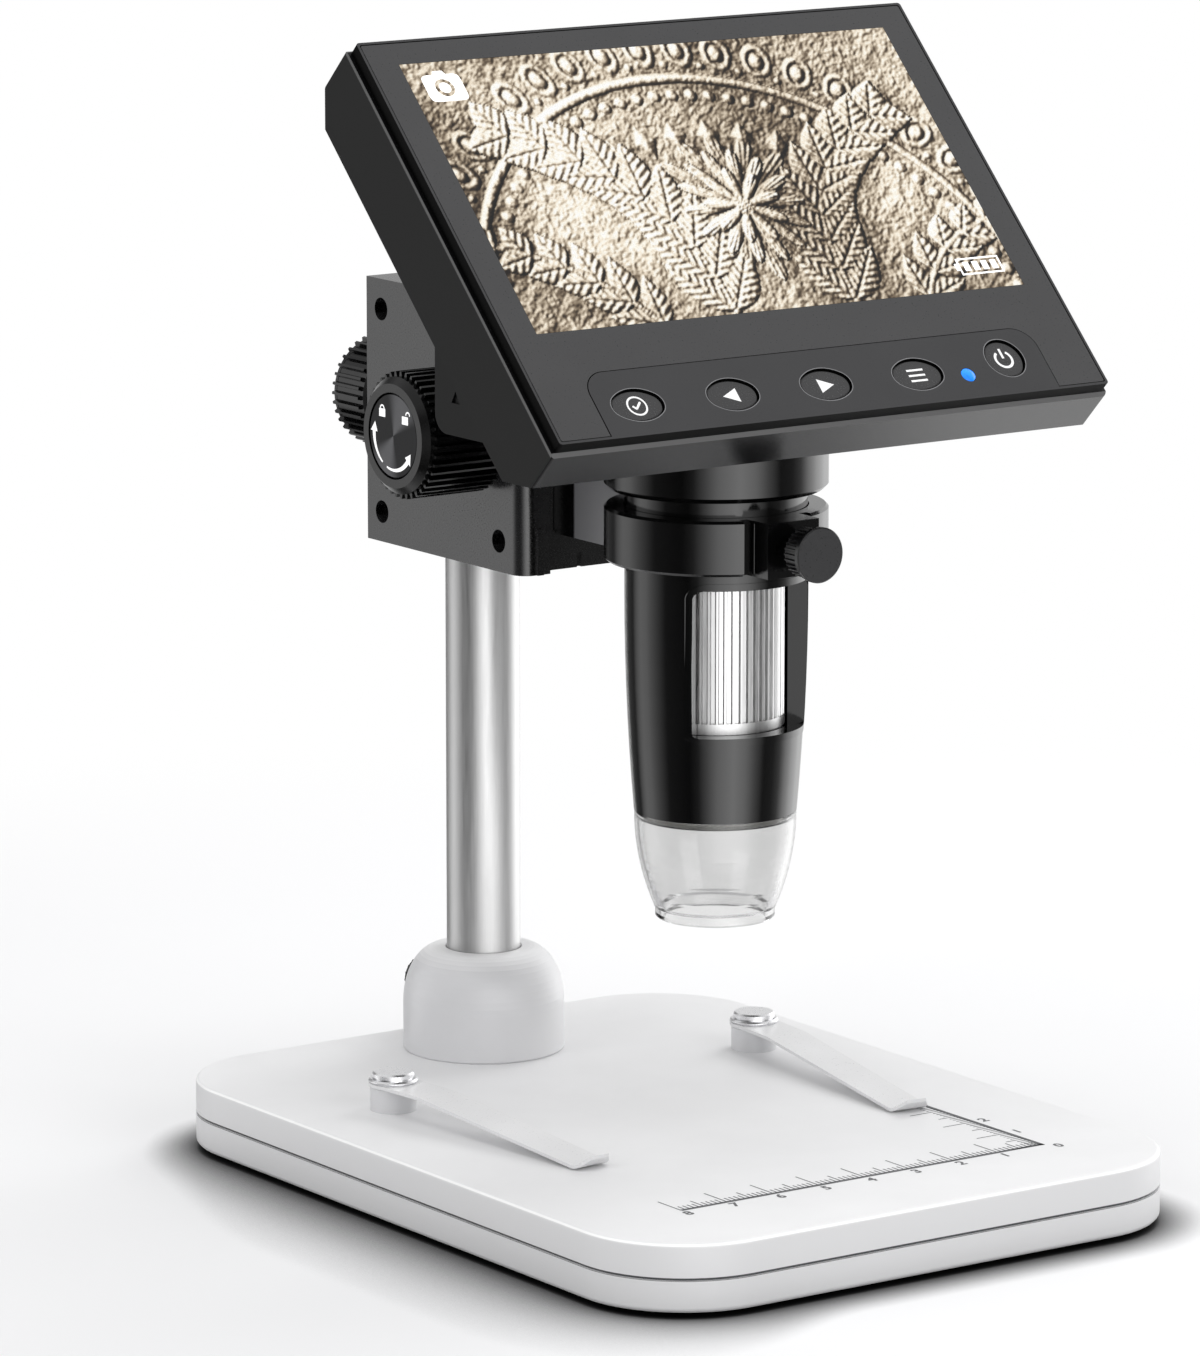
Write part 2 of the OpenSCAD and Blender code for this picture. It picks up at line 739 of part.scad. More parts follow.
// Rack seen from the side: y towards the pinion, z along the slide, a gap in line with the shaft
rack_back = flange_y + flange_t;
rack_first = shaft_z - slider_z - rack_pitch * floor((shaft_z - slider_z) / rack_pitch);
function rack_outline() = concat(
    [[rack_back, 0], [rack_pitch_y - rack_root, 0]],
    [for (i = [0 : rack_teeth - 1], p = [[-1, -1], [-1, 1], [1, 1], [1, -1]])
        let (mid = rack_first + (i + 0.5) * rack_pitch,
             out = p[1] > 0 ? rack_tip : -rack_root,
             half = rack_tooth_half - out * tan(pressure))
        if (mid + rack_tooth_half + rack_root < slider_l) [rack_pitch_y + out, mid + p[0] * half]],
    [[rack_pitch_y - rack_root, slider_l], [rack_back, slider_l]]
);

module focus_rack() {
    color(brass) translate([-rack_half, 0, slider_z]) rotate([90, 0, 90])
        linear_extrude(2 * rack_half) polygon(rack_outline());
}

module ring_thumb_screw() {
    color(black) translate([0, scope_y, ring_z + ring_h / 2]) rotate([90, 0, 0]) {
        translate([0, 0, pad_front + thumb_gap]) {
            ribbed_knob(thumb_d / 2 - 0.5, thumb_l - thumb_face + 0.1, 28, 0.4, 0.5, 0.3);
            // plain flat face, a little wider than the grip
            translate([0, 0, thumb_l - thumb_face]) rotate_extrude() polygon([
                [0, 0], [thumb_d / 2, 0], [thumb_d / 2, thumb_face - 0.2], [thumb_d / 2 - 0.2, thumb_face],
                [0, thumb_face]
            ]);
        }
        translate([0, 0, scope_r + 0.35]) cylinder(h = pad_front + thumb_gap - scope_r, r = thumb_stud_r);
    }
}

// ---------- screen housing ----------

// Underside of the housing and of the neck
neck_gap = 3.1;
neck_z = ring_z + ring_h + neck_gap;
neck_h = 9.5;
housing_z = neck_z + neck_h;
// Middle of the picture, in the screen's plane
picture_y = scope_y + 0.5;
screen_w = picture_w + 2 * face_side;
screen_l = picture_h + face_above + face_below;
screen_top = picture_h / 2 + face_above;
screen_bottom = screen_top - screen_l;
// Depth of the housing's lower wall, and where the level underside meets the screen's plane
lower_wall = 11.42;
underside_x = screen_bottom - lower_wall;
picture_z = housing_z - underside_x * cos(screen_tilt);
corner = 0.6;
frame_t = 2.4;
bevel = 0.65;
panel_t = 1;
panel_gap = 0.18;
lip_w = 0.5;

module on_screen() {
    translate([0, picture_y, picture_z]) rotate([screen_tilt, 0, 0]) children();
}

module screen_rect(inset, r) {
    translate([0, (screen_top + screen_bottom) / 2])
        round_rect(screen_w - 2 * inset, screen_l - 2 * inset, r);
}

// How much of the housing's back is cut upright at its top
back_cut_top = 5.6;
wedge_back_y = scope_y + 30.8;
wedge_corner = 3.7;

// Section of the housing across the slope: x up the slope, y out of the screen
module slab_section(inset) {
    t = screen_t - inset;
    s = sqrt(2);
    low = underside_x + inset * s;
    top_back = screen_top - inset - back_cut_top + inset * (s - 1);
    polygon([
        [screen_bottom + inset, -frame_t - bevel], [screen_bottom + inset + bevel, -frame_t],
        [screen_top - inset - bevel, -frame_t], [screen_top - inset, -frame_t - bevel],
        [screen_top - inset, -t + back_cut_top - inset * (2 - s)], [top_back, -t],
        [low + t, -t], [screen_bottom + inset, low - screen_bottom - inset]
    ]);
}

// Profile of the wedge behind the screen, seen along X
module wedge_profile(inset) {
    depth = screen_t - 3 + inset;
    s = sqrt(2);
    back = wedge_back_y - inset;
    low = housing_z + inset;
    r = max(wedge_corner - inset, 0.8);
    // the line through the housing's slope at that depth: z - y is constant along it
    slope = picture_z - picture_y - depth * s;
    polygon([[low - slope, low], [back - r, low], [back - r, back + slope - r], [back - r, low]]);
    polygon([[low - slope, low], [back - r, low], [back - r, back - r + slope]]);
    polygon([
        [back - r - 0.01, low + r], [back, low + r], [back, back + slope],
        [back - r - 0.01, back - r + slope]
    ]);
    translate([back - r, low + r]) circle(r);
}

module housing_body(inset) {
    on_screen() intersection() {
        translate([0, 0, -screen_t - cut]) linear_extrude(screen_t + 2 * cut) screen_rect(inset, corner);
        rotate([90, 0, 90]) linear_extrude(screen_w, center = true) slab_section(inset);
    }
    rotate([90, 0, 90]) linear_extrude(wedge_w - 2 * inset, center = true) wedge_profile(inset);
}

rim_wall = 1.4;
pillar_r = 3;
pillar_x = picture_w / 2 + 2;
pillar_top = screen_top - 9;
pillar_low = -picture_h / 2 - 4;
board_front = 4.7;
board_t = 1.6;
board_edge = 3.5;
board_side = 2.6;
lcd_side = 0.7;
lcd_end = 2.3;
battery_w = 58;
battery_l = 40;
battery_t = 5.5;
battery_v = 4;
port_v = 6;
card_v = -14;
usb_w = 9;
usb_t = 3.2;
card_w = 12;
card_t = 1.8;

module at_pillars() {
    for (x = [-1, 1], v = [pillar_low, pillar_top]) translate([x * pillar_x, v, 0]) children();
}

module rear_housing() {
    color(black) difference() {
        union() {
            difference() {
                housing_body(0);
                housing_body(case_wall);
                // the front is open where the frame closes it
                on_screen() translate([0, 0, -frame_t - bevel - 2 * cut])
                    linear_extrude(frame_t + bevel + 3 * cut) screen_rect(rim_wall, corner);
            }
            on_screen() at_pillars() translate([0, 0, -screen_t + 1])
                cylinder(h = screen_t - 1 - board_front - board_t, r = pillar_r);
        }
        on_screen() at_pillars() {
            translate([0, 0, -screen_t - cut]) cylinder(h = screen_t, r = 1.25);
            translate([0, 0, -screen_t - cut]) cylinder(h = cut + 3, r = 2.2);
        }
        // mouths of the two sockets, in the right-hand wall
        on_screen() translate([screen_w / 2, port_v, -board_front - board_t - usb_t / 2])
            cube([3 * case_wall, usb_w + 0.6, usb_t + 0.6], center = true);
        on_screen() translate([screen_w / 2, card_v, -board_front - board_t - card_t / 2])
            cube([3 * case_wall, card_w + 0.6, card_t + 0.4], center = true);
        // way down into the scope
        translate([0, scope_y, housing_z - cut]) cylinder(h = case_wall + 2 * cut, r = scope_r - 3);
        // small arrow-shaped dent in the wedge's left side
        translate([-wedge_w / 2, wedge_back_y - 6.6, housing_z + 6.9]) rotate([90, 0, -90])
            translate([0, 0, -0.5]) linear_extrude(cut + 0.5) polygon([[-1.3, -1], [1.3, -1], [0, 1.2]]);
    }
}

frame_w = screen_w - 2 * bevel;
frame_l = screen_l - 2 * bevel;
panel_w = frame_w - 2 * lip_w;
panel_l = frame_l - 2 * lip_w;
panel_corner = 0.4;
mid_v = (screen_top + screen_bottom) / 2;

// Area of the buttons, part of the frame: its lower edge runs on into the frame's rim,
// its upper corners are round
key_v = screen_bottom + 7.1;
key_half = 2 * button_pitch + 8.4;
key_top = key_v + 7.6;
key_low = screen_bottom + bevel + 0.3;
key_round = 4.5;
button_gap = 0.3;
collar_out = 0.8;
light_x = 1.5 * button_pitch + 0.5;
light_v = key_v - 1.3;
light_r = 1.4;
power_v = key_v + 1.4;

module key_outline(grow) {
    translate([-key_half - grow, key_low])
        square([2 * (key_half + grow), key_top - key_round - key_low]);
    translate([-key_half + key_round, key_low])
        square([2 * (key_half - key_round), key_top - key_low + grow]);
    for (x = [-1, 1]) translate([x * (key_half - key_round), key_top - key_round])
        circle(key_round + grow);
}

// Oval of four arcs that meet smoothly
module oval(half_w, half_l, grow) {
    end_r = 0.68 * half_l;
    side_r = (pow(half_w, 2) + pow(half_l, 2) - 2 * half_w * end_r) / (2 * (half_l - end_r));
    end_x = half_w - end_r;
    meet_x = end_x + (end_r + grow) * end_x / (side_r - end_r);
    intersection() {
        translate([0, half_l - side_r]) circle(side_r + grow);
        translate([0, side_r - half_l]) circle(side_r + grow);
        square([2 * meet_x, 4 * half_l], center = true);
    }
    for (x = [-1, 1]) translate([x * end_x, 0]) circle(end_r + grow);
}

module button_shape(round, grow) {
    if (round) circle(power_d / 2 + grow);
    else oval(button_w / 2, button_l / 2, grow);
}

// Outlines of all five buttons, each in its place
module at_buttons(grow) {
    for (i = [-2 : 2]) translate([i * button_pitch, i == 2 ? power_v : key_v])
        button_shape(i == 2, grow);
}

module front_frame() {
    shelf = 2;
    color(black) on_screen() difference() {
        union() {
            difference() {
                translate([0, mid_v, -frame_t]) linear_extrude(frame_t)
                    round_rect(frame_w, frame_l, corner);
                translate([0, mid_v, -panel_t]) linear_extrude(panel_t + cut)
                    round_rect(panel_w, panel_l, panel_corner);
                translate([0, mid_v, -frame_t - cut]) linear_extrude(frame_t + 2 * cut)
                    round_rect(panel_w - 2 * shelf, panel_l - 2 * shelf, panel_corner);
            }
            translate([0, 0, -panel_t]) linear_extrude(panel_t) key_outline(0);
        }
        translate([0, 0, -frame_t - cut]) linear_extrude(frame_t + 2 * cut) at_buttons(button_gap);
        // room behind the frame for the buttons' collars
        translate([0, 0, -frame_t - cut]) linear_extrude(frame_t - panel_t + cut)
            at_buttons(collar_out + 0.3);
        translate([light_x, light_v, -frame_t - cut]) cylinder(h = frame_t + 2 * cut, r = light_r + 0.1);
    }
}

module front_panel() {
    color("#2c2c2e") on_screen() translate([0, 0, -panel_t]) linear_extrude(panel_t - 0.05) difference() {
        translate([0, mid_v]) round_rect(panel_w - 2 * panel_gap, panel_l - 2 * panel_gap, panel_corner);
        square([picture_w, picture_h], center = true);
        key_outline(panel_gap);
    }
}

module screen_glass() {
    color("#c9b79a") on_screen() translate([0, 0, -panel_t]) linear_extrude(panel_t - 0.1)
        square([picture_w - 0.1, picture_h - 0.1], center = true);
}

module lcd_module() {
    color("#9aa0a6") on_screen() translate([0, 0, -board_front])
        linear_extrude(board_front - panel_t)
            square([picture_w + 2 * lcd_side, picture_h + 2 * lcd_end], center = true);
}

module main_board() {
    low = pillar_low - board_edge;
    top = pillar_top + board_edge;
    color("#1f5a3a") on_screen() difference() {
        translate([0, (low + top) / 2, -board_front - board_t]) linear_extrude(board_t)
            round_rect(2 * (pillar_x + board_side), top - low, 2);
        at_pillars() translate([0, 0, -screen_t]) cylinder(h = screen_t, r = 1.35);
    }
}

module battery() {
    color("#8f9499") on_screen() translate([0, battery_v, -board_front - board_t - battery_t])
        linear_extrude(battery_t) round_rect(battery_w, battery_l, 2);
}

switch_top = 3.1;
key_board_front = 5.6;

module button_board() {
    color("#1f5a3a") on_screen() {
        translate([0, key_v + 0.4, -key_board_front - 1.2]) linear_extrude(1.2)
            round_rect(2 * key_half, 9, 1);
        for (i = [-2 : 2]) translate([i * button_pitch, i == 2 ? power_v : key_v, -key_board_front - 0.1])
            linear_extrude(key_board_front - switch_top + 0.1) square([5, 5], center = true);
        // posts that hold the board under the buttons
        for (x = [-1.5, 0.5]) translate([x * button_pitch, key_v, -key_board_front - 0.1])
            cylinder(h = key_board_front - panel_t, r = 1.5);
    }
}

module housing_screws() {
    color(steel) on_screen() at_pillars() {
        translate([0, 0, -screen_t + 0.6]) cylinder(h = 1.3, r = 2);
        translate([0, 0, -screen_t + 1.8]) cylinder(h = screen_t - 1.8 - board_front + 0.3, r = 1.15);
    }
}

module usb_socket() {
    color(steel) on_screen() translate([screen_w / 2 - 8.5, port_v, -board_front - board_t - usb_t])
        difference() {
            translate([0, -usb_w / 2, 0]) cube([8, usb_w, usb_t]);
            translate([2, -usb_w / 2 + 0.4, 0.4]) cube([8, usb_w - 0.8, usb_t - 0.8]);
        }
}

module card_socket() {
    color(steel) on_screen() translate([screen_w / 2 - 16, card_v, -board_front - board_t - card_t])
        difference() {
            translate([0, -card_w / 2, 0]) cube([15, card_w, card_t]);
            translate([3, -card_w / 2 + 0.4, 0.3]) cube([15, card_w - 0.8, card_t - 0.7]);
        }
}

module status_light() {
    color("#3d8bff") on_screen() translate([light_x, light_v, 0]) {
        translate([0, 0, -key_board_front]) cylinder(h = key_board_front, r = light_r);
        intersection() {
            translate([0, 0, -2.2]) sphere(2.6);
            cylinder(h = 1, r = light_r);
        }
    }
}

// Button: a cap in the frame's hole, a wider collar behind the frame, and a stem to its switch
module button(place, round = false) {
    collar_t = 0.6;
    cap_edge = 0.15;
    collar_top = -panel_t - 0.1;
    stem_end = -switch_top + button_travel + 0.15;
    color("#303033") on_screen() translate([place * button_pitch, round ? power_v : key_v, 0]) {
        translate([0, 0, collar_top - 0.2])
            linear_extrude(0.2 - collar_top - button_sink - cap_edge) button_shape(round, 0);
        translate([0, 0, collar_top - 0.2])
            linear_extrude(0.2 - collar_top - button_sink) button_shape(round, -cap_edge);
        translate([0, 0, collar_top - collar_t]) linear_extrude(collar_t) button_shape(round, collar_out);
        translate([0, 0, stem_end]) cylinder(h = collar_top - 0.3 - stem_end, r = 1.8);
    }
}

module ok_button() button(-2);
module left_button() button(-1);
module right_button() button(0);
module menu_button() button(1);
module power_button() button(2, round = true);

// ---------- scope ----------

module neck_collar() {
    color(black) translate([0, scope_y, neck_z]) rotate_extrude() polygon([
        [scope_r + run, 0], [ring_r - 0.9, 0], [ring_r, 0.9], [ring_r, neck_h], [scope_r + run, neck_h]
    ]);
}

scope_z = base_top + scope_rise;
// The tube keeps its full width down to here, then narrows on a long arc
straight_z = ring_z - 5.1;
arc_r = 475;
function tube_r(z) = scope_r - (z < straight_z ? pow(straight_z - z, 2) / (2 * arc_r) : 0);
tube_wall = 1.6;
window_h = 26.9;
window_top = ring_z - 3.2;
window_low = window_top - window_h;
window_round = 1.6;
window_rim = 1.3;
rim_out = 0.15;
wheel_r = wheel_d / 2;
wheel_bore_r = wheel_r + 0.55;

module tube_shape(inset, low, top, steps) {
    rotate_extrude() polygon(concat(
        [[0, low]],
        [for (i = [0 : steps]) let (z = low + (top - low) * i / steps) [tube_r(z) - inset, z]],
        [[0, top]]
    ));
}

// Wedge-shaped block that takes the window out of the tube's front
module window_block(half_angle, low, top, round) {
    reach = scope_r + 4;
    half = reach * sin(half_angle);
    intersection() {
        translate([0, -reach, (low + top) / 2]) rotate([90, 0, 0])
            linear_extrude(2 * reach, center = true)
                round_rect(2 * scope_r * sin(half_angle), top - low, round);
        translate([0, 0, low - cut]) linear_extrude(top - low + 2 * cut) polygon([
            [0, 0], [-half, -reach * cos(half_angle)], [-half, -2 * reach], [half, -2 * reach],
            [half, -reach * cos(half_angle)]
        ]);
    }
}

// Outer radius of the clear hood, against the share of its length below the tube
hood_l = 19.9;
hood_foot_r = 10.85;
function hood_r(s) = tube_r(scope_z) - 0.05 - (tube_r(scope_z) - hood_foot_r - 0.25) * pow(s, 2.1);
hood_steps = 10;
hood_outer = [for (i = [0 : hood_steps]) let (s = i / hood_steps) [hood_r(s), -(hood_l - 2) * s]];

wheel_low = window_low - 0.6;
wheel_top = window_top + 0.6;
barrel_r = 9.4;
sensor_z = straight_z + 9;
// Seat in the tube's end for the hood's neck, and above it for the light board
neck_l = 3;
light_t = 1.4;
end_seat_r = tube_r(scope_z) - tube_wall;
light_top = scope_z + neck_l + light_t + 0.1;
guide_t = 1.6;
barrel_z = light_top + 5.3;
barrel_top = window_top + 3.1;

module scope_body() {
    color(black) translate([0, scope_y, 0]) difference() {
        union() {
            difference() {
                union() {
                    tube_shape(0, scope_z, housing_z, 12);
                    // low rim round the window
                    intersection() {
                        tube_shape(-rim_out, window_low - 2 * window_rim, window_top + 2 * window_rim, 6);
                        window_block(window_angle + 4.5, window_low - window_rim, window_top + window_rim,
                                     window_round + window_rim);
                    }
                }
                translate([0, 0, light_top]) cylinder(h = sensor_z - light_top, r = wheel_bore_r);
                translate([0, 0, sensor_z]) cylinder(h = housing_z, r = scope_r - 2.2);
            }
            // seat over the light board, and guide rings under and over the wheel
            for (z = [light_top, wheel_low - 0.2 - guide_t, wheel_top + 0.2]) translate([0, 0, z])
                cylinder(h = guide_t, r = wheel_bore_r + 0.4);
        }
        translate([0, 0, scope_z - cut]) cylinder(h = light_top - scope_z + cut, r = end_seat_r);
        translate([0, 0, scope_z]) cylinder(h = sensor_z - scope_z - 2, r = barrel_r + 0.6);
        window_block(window_angle, window_low, window_top, window_round);
    }
}

module focus_wheel() {
    band = 2.6;
    band_r = wheel_r + 0.06;
    lap = 0.3;
    color("#b4b6b8") translate([0, scope_y, 0]) difference() {
        union() {
            translate([0, 0, wheel_low + band - lap]) linear_extrude(wheel_top - wheel_low - band + lap)
                polygon(rib_points(wheel_r, 52, 0.5));
            // plain band, a hair proud of the ribs
            translate([0, 0, wheel_low]) rotate_extrude() polygon([
                [0, 0], [band_r - 0.6, 0], [band_r, 0.6], [band_r, band], [0, band]
            ]);
        }
        translate([0, 0, wheel_low - cut]) cylinder(h = wheel_top - wheel_low + 2 * cut, r = barrel_r + run);
    }
}

sensor_tube_r = 7.95;
lens_r = 5.5;
lens_hold = 6.6;

module lens_barrel() {
    color("#2a2a2c") translate([0, scope_y, 0]) difference() {
        translate([0, 0, barrel_z]) cylinder(h = barrel_top - barrel_z, r = barrel_r);
        translate([0, 0, barrel_z + lens_hold]) cylinder(h = barrel_top, r = sensor_tube_r + run);
        translate([0, 0, barrel_z - cut]) cylinder(h = lens_hold + 2 * cut, r = lens_r);
    }
}

module lens_elements() {
    color("#bcd3de") translate([0, scope_y, 0]) for (z = [barrel_z + 0.6, barrel_z + 3.4])
        translate([0, 0, z]) cylinder(h = 2.4, r = lens_r - 0.02);
}

module sensor_tube() {
    color("#2a2a2c") translate([0, scope_y, 0]) difference() {
        translate([0, 0, straight_z - 8]) cylinder(h = 17, r = sensor_tube_r);
        translate([0, 0, straight_z - 9]) cylinder(h = 19, r = 6.4);
    }
}

module sensor_board() {
    color("#1f5a3a") translate([0, scope_y, sensor_z]) {
        cylinder(h = 1.6, r = scope_r - 2.4);
        translate([-4, -4, -1.2]) cube([8, 8, 1.3]);
    }
}

module light_board() {
    color("#f2f2ee") translate([0, scope_y, light_top - light_t]) difference() {
        cylinder(h = light_t, r = end_seat_r - seat_gap);
        translate([0, 0, -cut]) cylinder(h = 4, r = 6.2);
    }
}

module light_leds() {
    color("#fff6d8") translate([0, scope_y, light_top - light_t - 0.8])
        for (i = [0 : 7]) rotate([0, 0, 22.5 + 45 * i]) translate([8.6, 0, 0.4])
            cube([2.2, 2.2, 0.8], center = true);
}

// Clear hood: a neck that sits in the tube's end, a shoulder, and a belly down to a thicker foot
module lens_hood() {
    neck_out = end_seat_r - 0.08;
    neck_in = neck_out - hood_wall;
    color("#dfe9ec", 0.4) translate([0, scope_y, scope_z]) rotate_extrude() polygon(concat(
        [[neck_in, neck_l], [neck_out, neck_l], [neck_out, -0.05], [hood_outer[0][0], -0.05]],
        [for (i = [1 : hood_steps]) hood_outer[i]],
        [[hood_foot_r, -hood_l + 1.8], [hood_foot_r, -hood_l + 0.3], [hood_foot_r - 0.3, -hood_l],
         [hood_foot_r - 1.6, -hood_l], [hood_foot_r - 1.6, -hood_l + 2]],
        [for (i = [hood_steps : -1 : 1]) [hood_outer[i][0] - hood_wall, hood_outer[i][1] + 0.4]],
        [[neck_in, -0.2]]
    ));
}

base_top_cover();
base_bottom_cover();
base_steel_plate();
base_feet();
base_screws();
column_socket();
column_bolt();
column_tube();
column_cap();
column_lock_screw();
clip_left_post();
clip_left_strip();
clip_left_button();
clip_right_post();
clip_right_strip();
clip_right_button();
column_sleeve();
carriage_left_half();
carriage_right_half();
carriage_screws();
height_lock_knob();
focus_shaft();
focus_pinion();
focus_knob();
shaft_bushes();
focus_lock_knob();
lock_knob_disc();
scope_arm();
focus_rack();
ring_thumb_screw();
rear_housing();
front_frame();
front_panel();
screen_glass();
lcd_module();
main_board();
battery();
button_board();
housing_screws();
usb_socket();
card_socket();
status_light();
ok_button();
left_button();
right_button();
menu_button();
power_button();
neck_collar();
scope_body();
sensor_board();
sensor_tube();
lens_barrel();
lens_elements();
focus_wheel();
light_board();
light_leds();
lens_hood();
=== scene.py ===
import math
import bpy
import numpy as np
from mathutils import Matrix, Vector


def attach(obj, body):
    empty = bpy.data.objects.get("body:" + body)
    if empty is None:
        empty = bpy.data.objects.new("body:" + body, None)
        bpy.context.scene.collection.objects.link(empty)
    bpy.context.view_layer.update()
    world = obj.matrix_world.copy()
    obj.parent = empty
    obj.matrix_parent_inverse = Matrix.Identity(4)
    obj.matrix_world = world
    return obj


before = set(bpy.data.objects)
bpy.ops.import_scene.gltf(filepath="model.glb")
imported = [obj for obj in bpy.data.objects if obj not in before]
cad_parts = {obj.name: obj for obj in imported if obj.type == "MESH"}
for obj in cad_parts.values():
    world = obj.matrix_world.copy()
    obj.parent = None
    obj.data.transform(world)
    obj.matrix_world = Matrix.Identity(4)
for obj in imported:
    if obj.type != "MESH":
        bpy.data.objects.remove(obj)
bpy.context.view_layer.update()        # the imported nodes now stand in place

mm = 0.001
print("frame loaded:", len(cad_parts), "nodes")


def toLinear(hexColour):
    # sRGB hex to linear RGBA: a power of 2.4, and a straight line near black
    parts = [int(hexColour[i:i + 2], 16) / 255 for i in (1, 3, 5)]
    return (*[p / 12.92 if p <= 0.04045 else ((p + 0.055) / 1.055) ** 2.4 for p in parts], 1.0)


def addNode(tree, kind, settings=None, links=None):
    # settings go to the node's own fields or to its input sockets; links join its inputs to other outputs
    node = tree.nodes.new(kind)
    for key, value in (settings or {}).items():
        if isinstance(key, str) and key not in node.inputs and hasattr(node, key):
            setattr(node, key, value)
        else:
            node.inputs[key].default_value = value
    for key, source in (links or {}).items():
        tree.links.new(source, node.inputs[key])
    return node


def newMaterial(name, shader):
    # a material with one Principled shader; returns it, its tree, the shader and Object coordinates
    material = bpy.data.materials.new(name)
    material.use_nodes = True
    tree = material.node_tree
    tree.nodes.clear()
    principled = addNode(tree, "ShaderNodeBsdfPrincipled", shader)
    addNode(tree, "ShaderNodeOutputMaterial", links={"Surface": principled.outputs["BSDF"]})
    coords = addNode(tree, "ShaderNodeTexCoord").outputs["Object"]
    return material, tree, principled, coords


def gridFaces(rows, columns, closed=False):
    # quads between neighbouring points of a grid stored row by row; a closed grid joins its last column to
    # its first
    i, j = np.meshgrid(np.arange(rows - 1), np.arange(columns if closed else columns - 1), indexing="ij")
    here, beside = i * columns + j, i * columns + (j + 1) % columns
    return np.stack([here, beside, beside + columns, here + columns], -1).reshape(-1, 4)


# the camera looks down by 11 degrees, from the front left corner
cameraSetup = {
    "place": (-0.78862, -1.10549, 0.35889), "back": (-0.5625, -0.8043, 0.1913),
    "right": (0.8195, -0.5731, 0.0), "lensMm": 202.03, "sensorMm": 36.0, "clipNear": 0.05, "clipFar": 30.0,
}


def makeCamera(setup):
    # the camera's own axes are right, up and back, and up is square to the other two
    data = bpy.data.cameras.new("frontLeftView")
    data.lens, data.sensor_width = setup["lensMm"], setup["sensorMm"]
    data.clip_start, data.clip_end = setup["clipNear"], setup["clipFar"]
    camera = bpy.data.objects.new("frontLeftView", data)
    bpy.context.scene.collection.objects.link(camera)
    back, right = Vector(setup["back"]).normalized(), Vector(setup["right"]).normalized()
    turn = Matrix((right, back.cross(right), back)).transposed().to_4x4()
    camera.matrix_world = Matrix.Translation(setup["place"]) @ turn
    bpy.context.scene.camera = camera


# pale paper that fades to plain white before its edge, all lengths in metres
floorSetup = {
    "radius": 0.46, "rings": 6, "spokes": 72, "drop": 0.0002,
    "colour": "#ececed", "rough": 0.9, "specular": 0.1,
    "fadeFrom": 0.24, "fadeTo": 0.42,          # where it turns white
    "mirrorFrom": 0.1, "mirrorTo": 0.15,       # where reflections see past it
    # reach of the shadow painted into the paper's colour at the base's foot: longest on the side turned from
    # the key lamp
    "shadeNear": 0.01, "shadeFar": 0.028, "shadePower": 2.9, "shadeSamples": 12,
    "westSpan": (-0.02, -0.075), "southSpan": (0.085, 0.0),
}


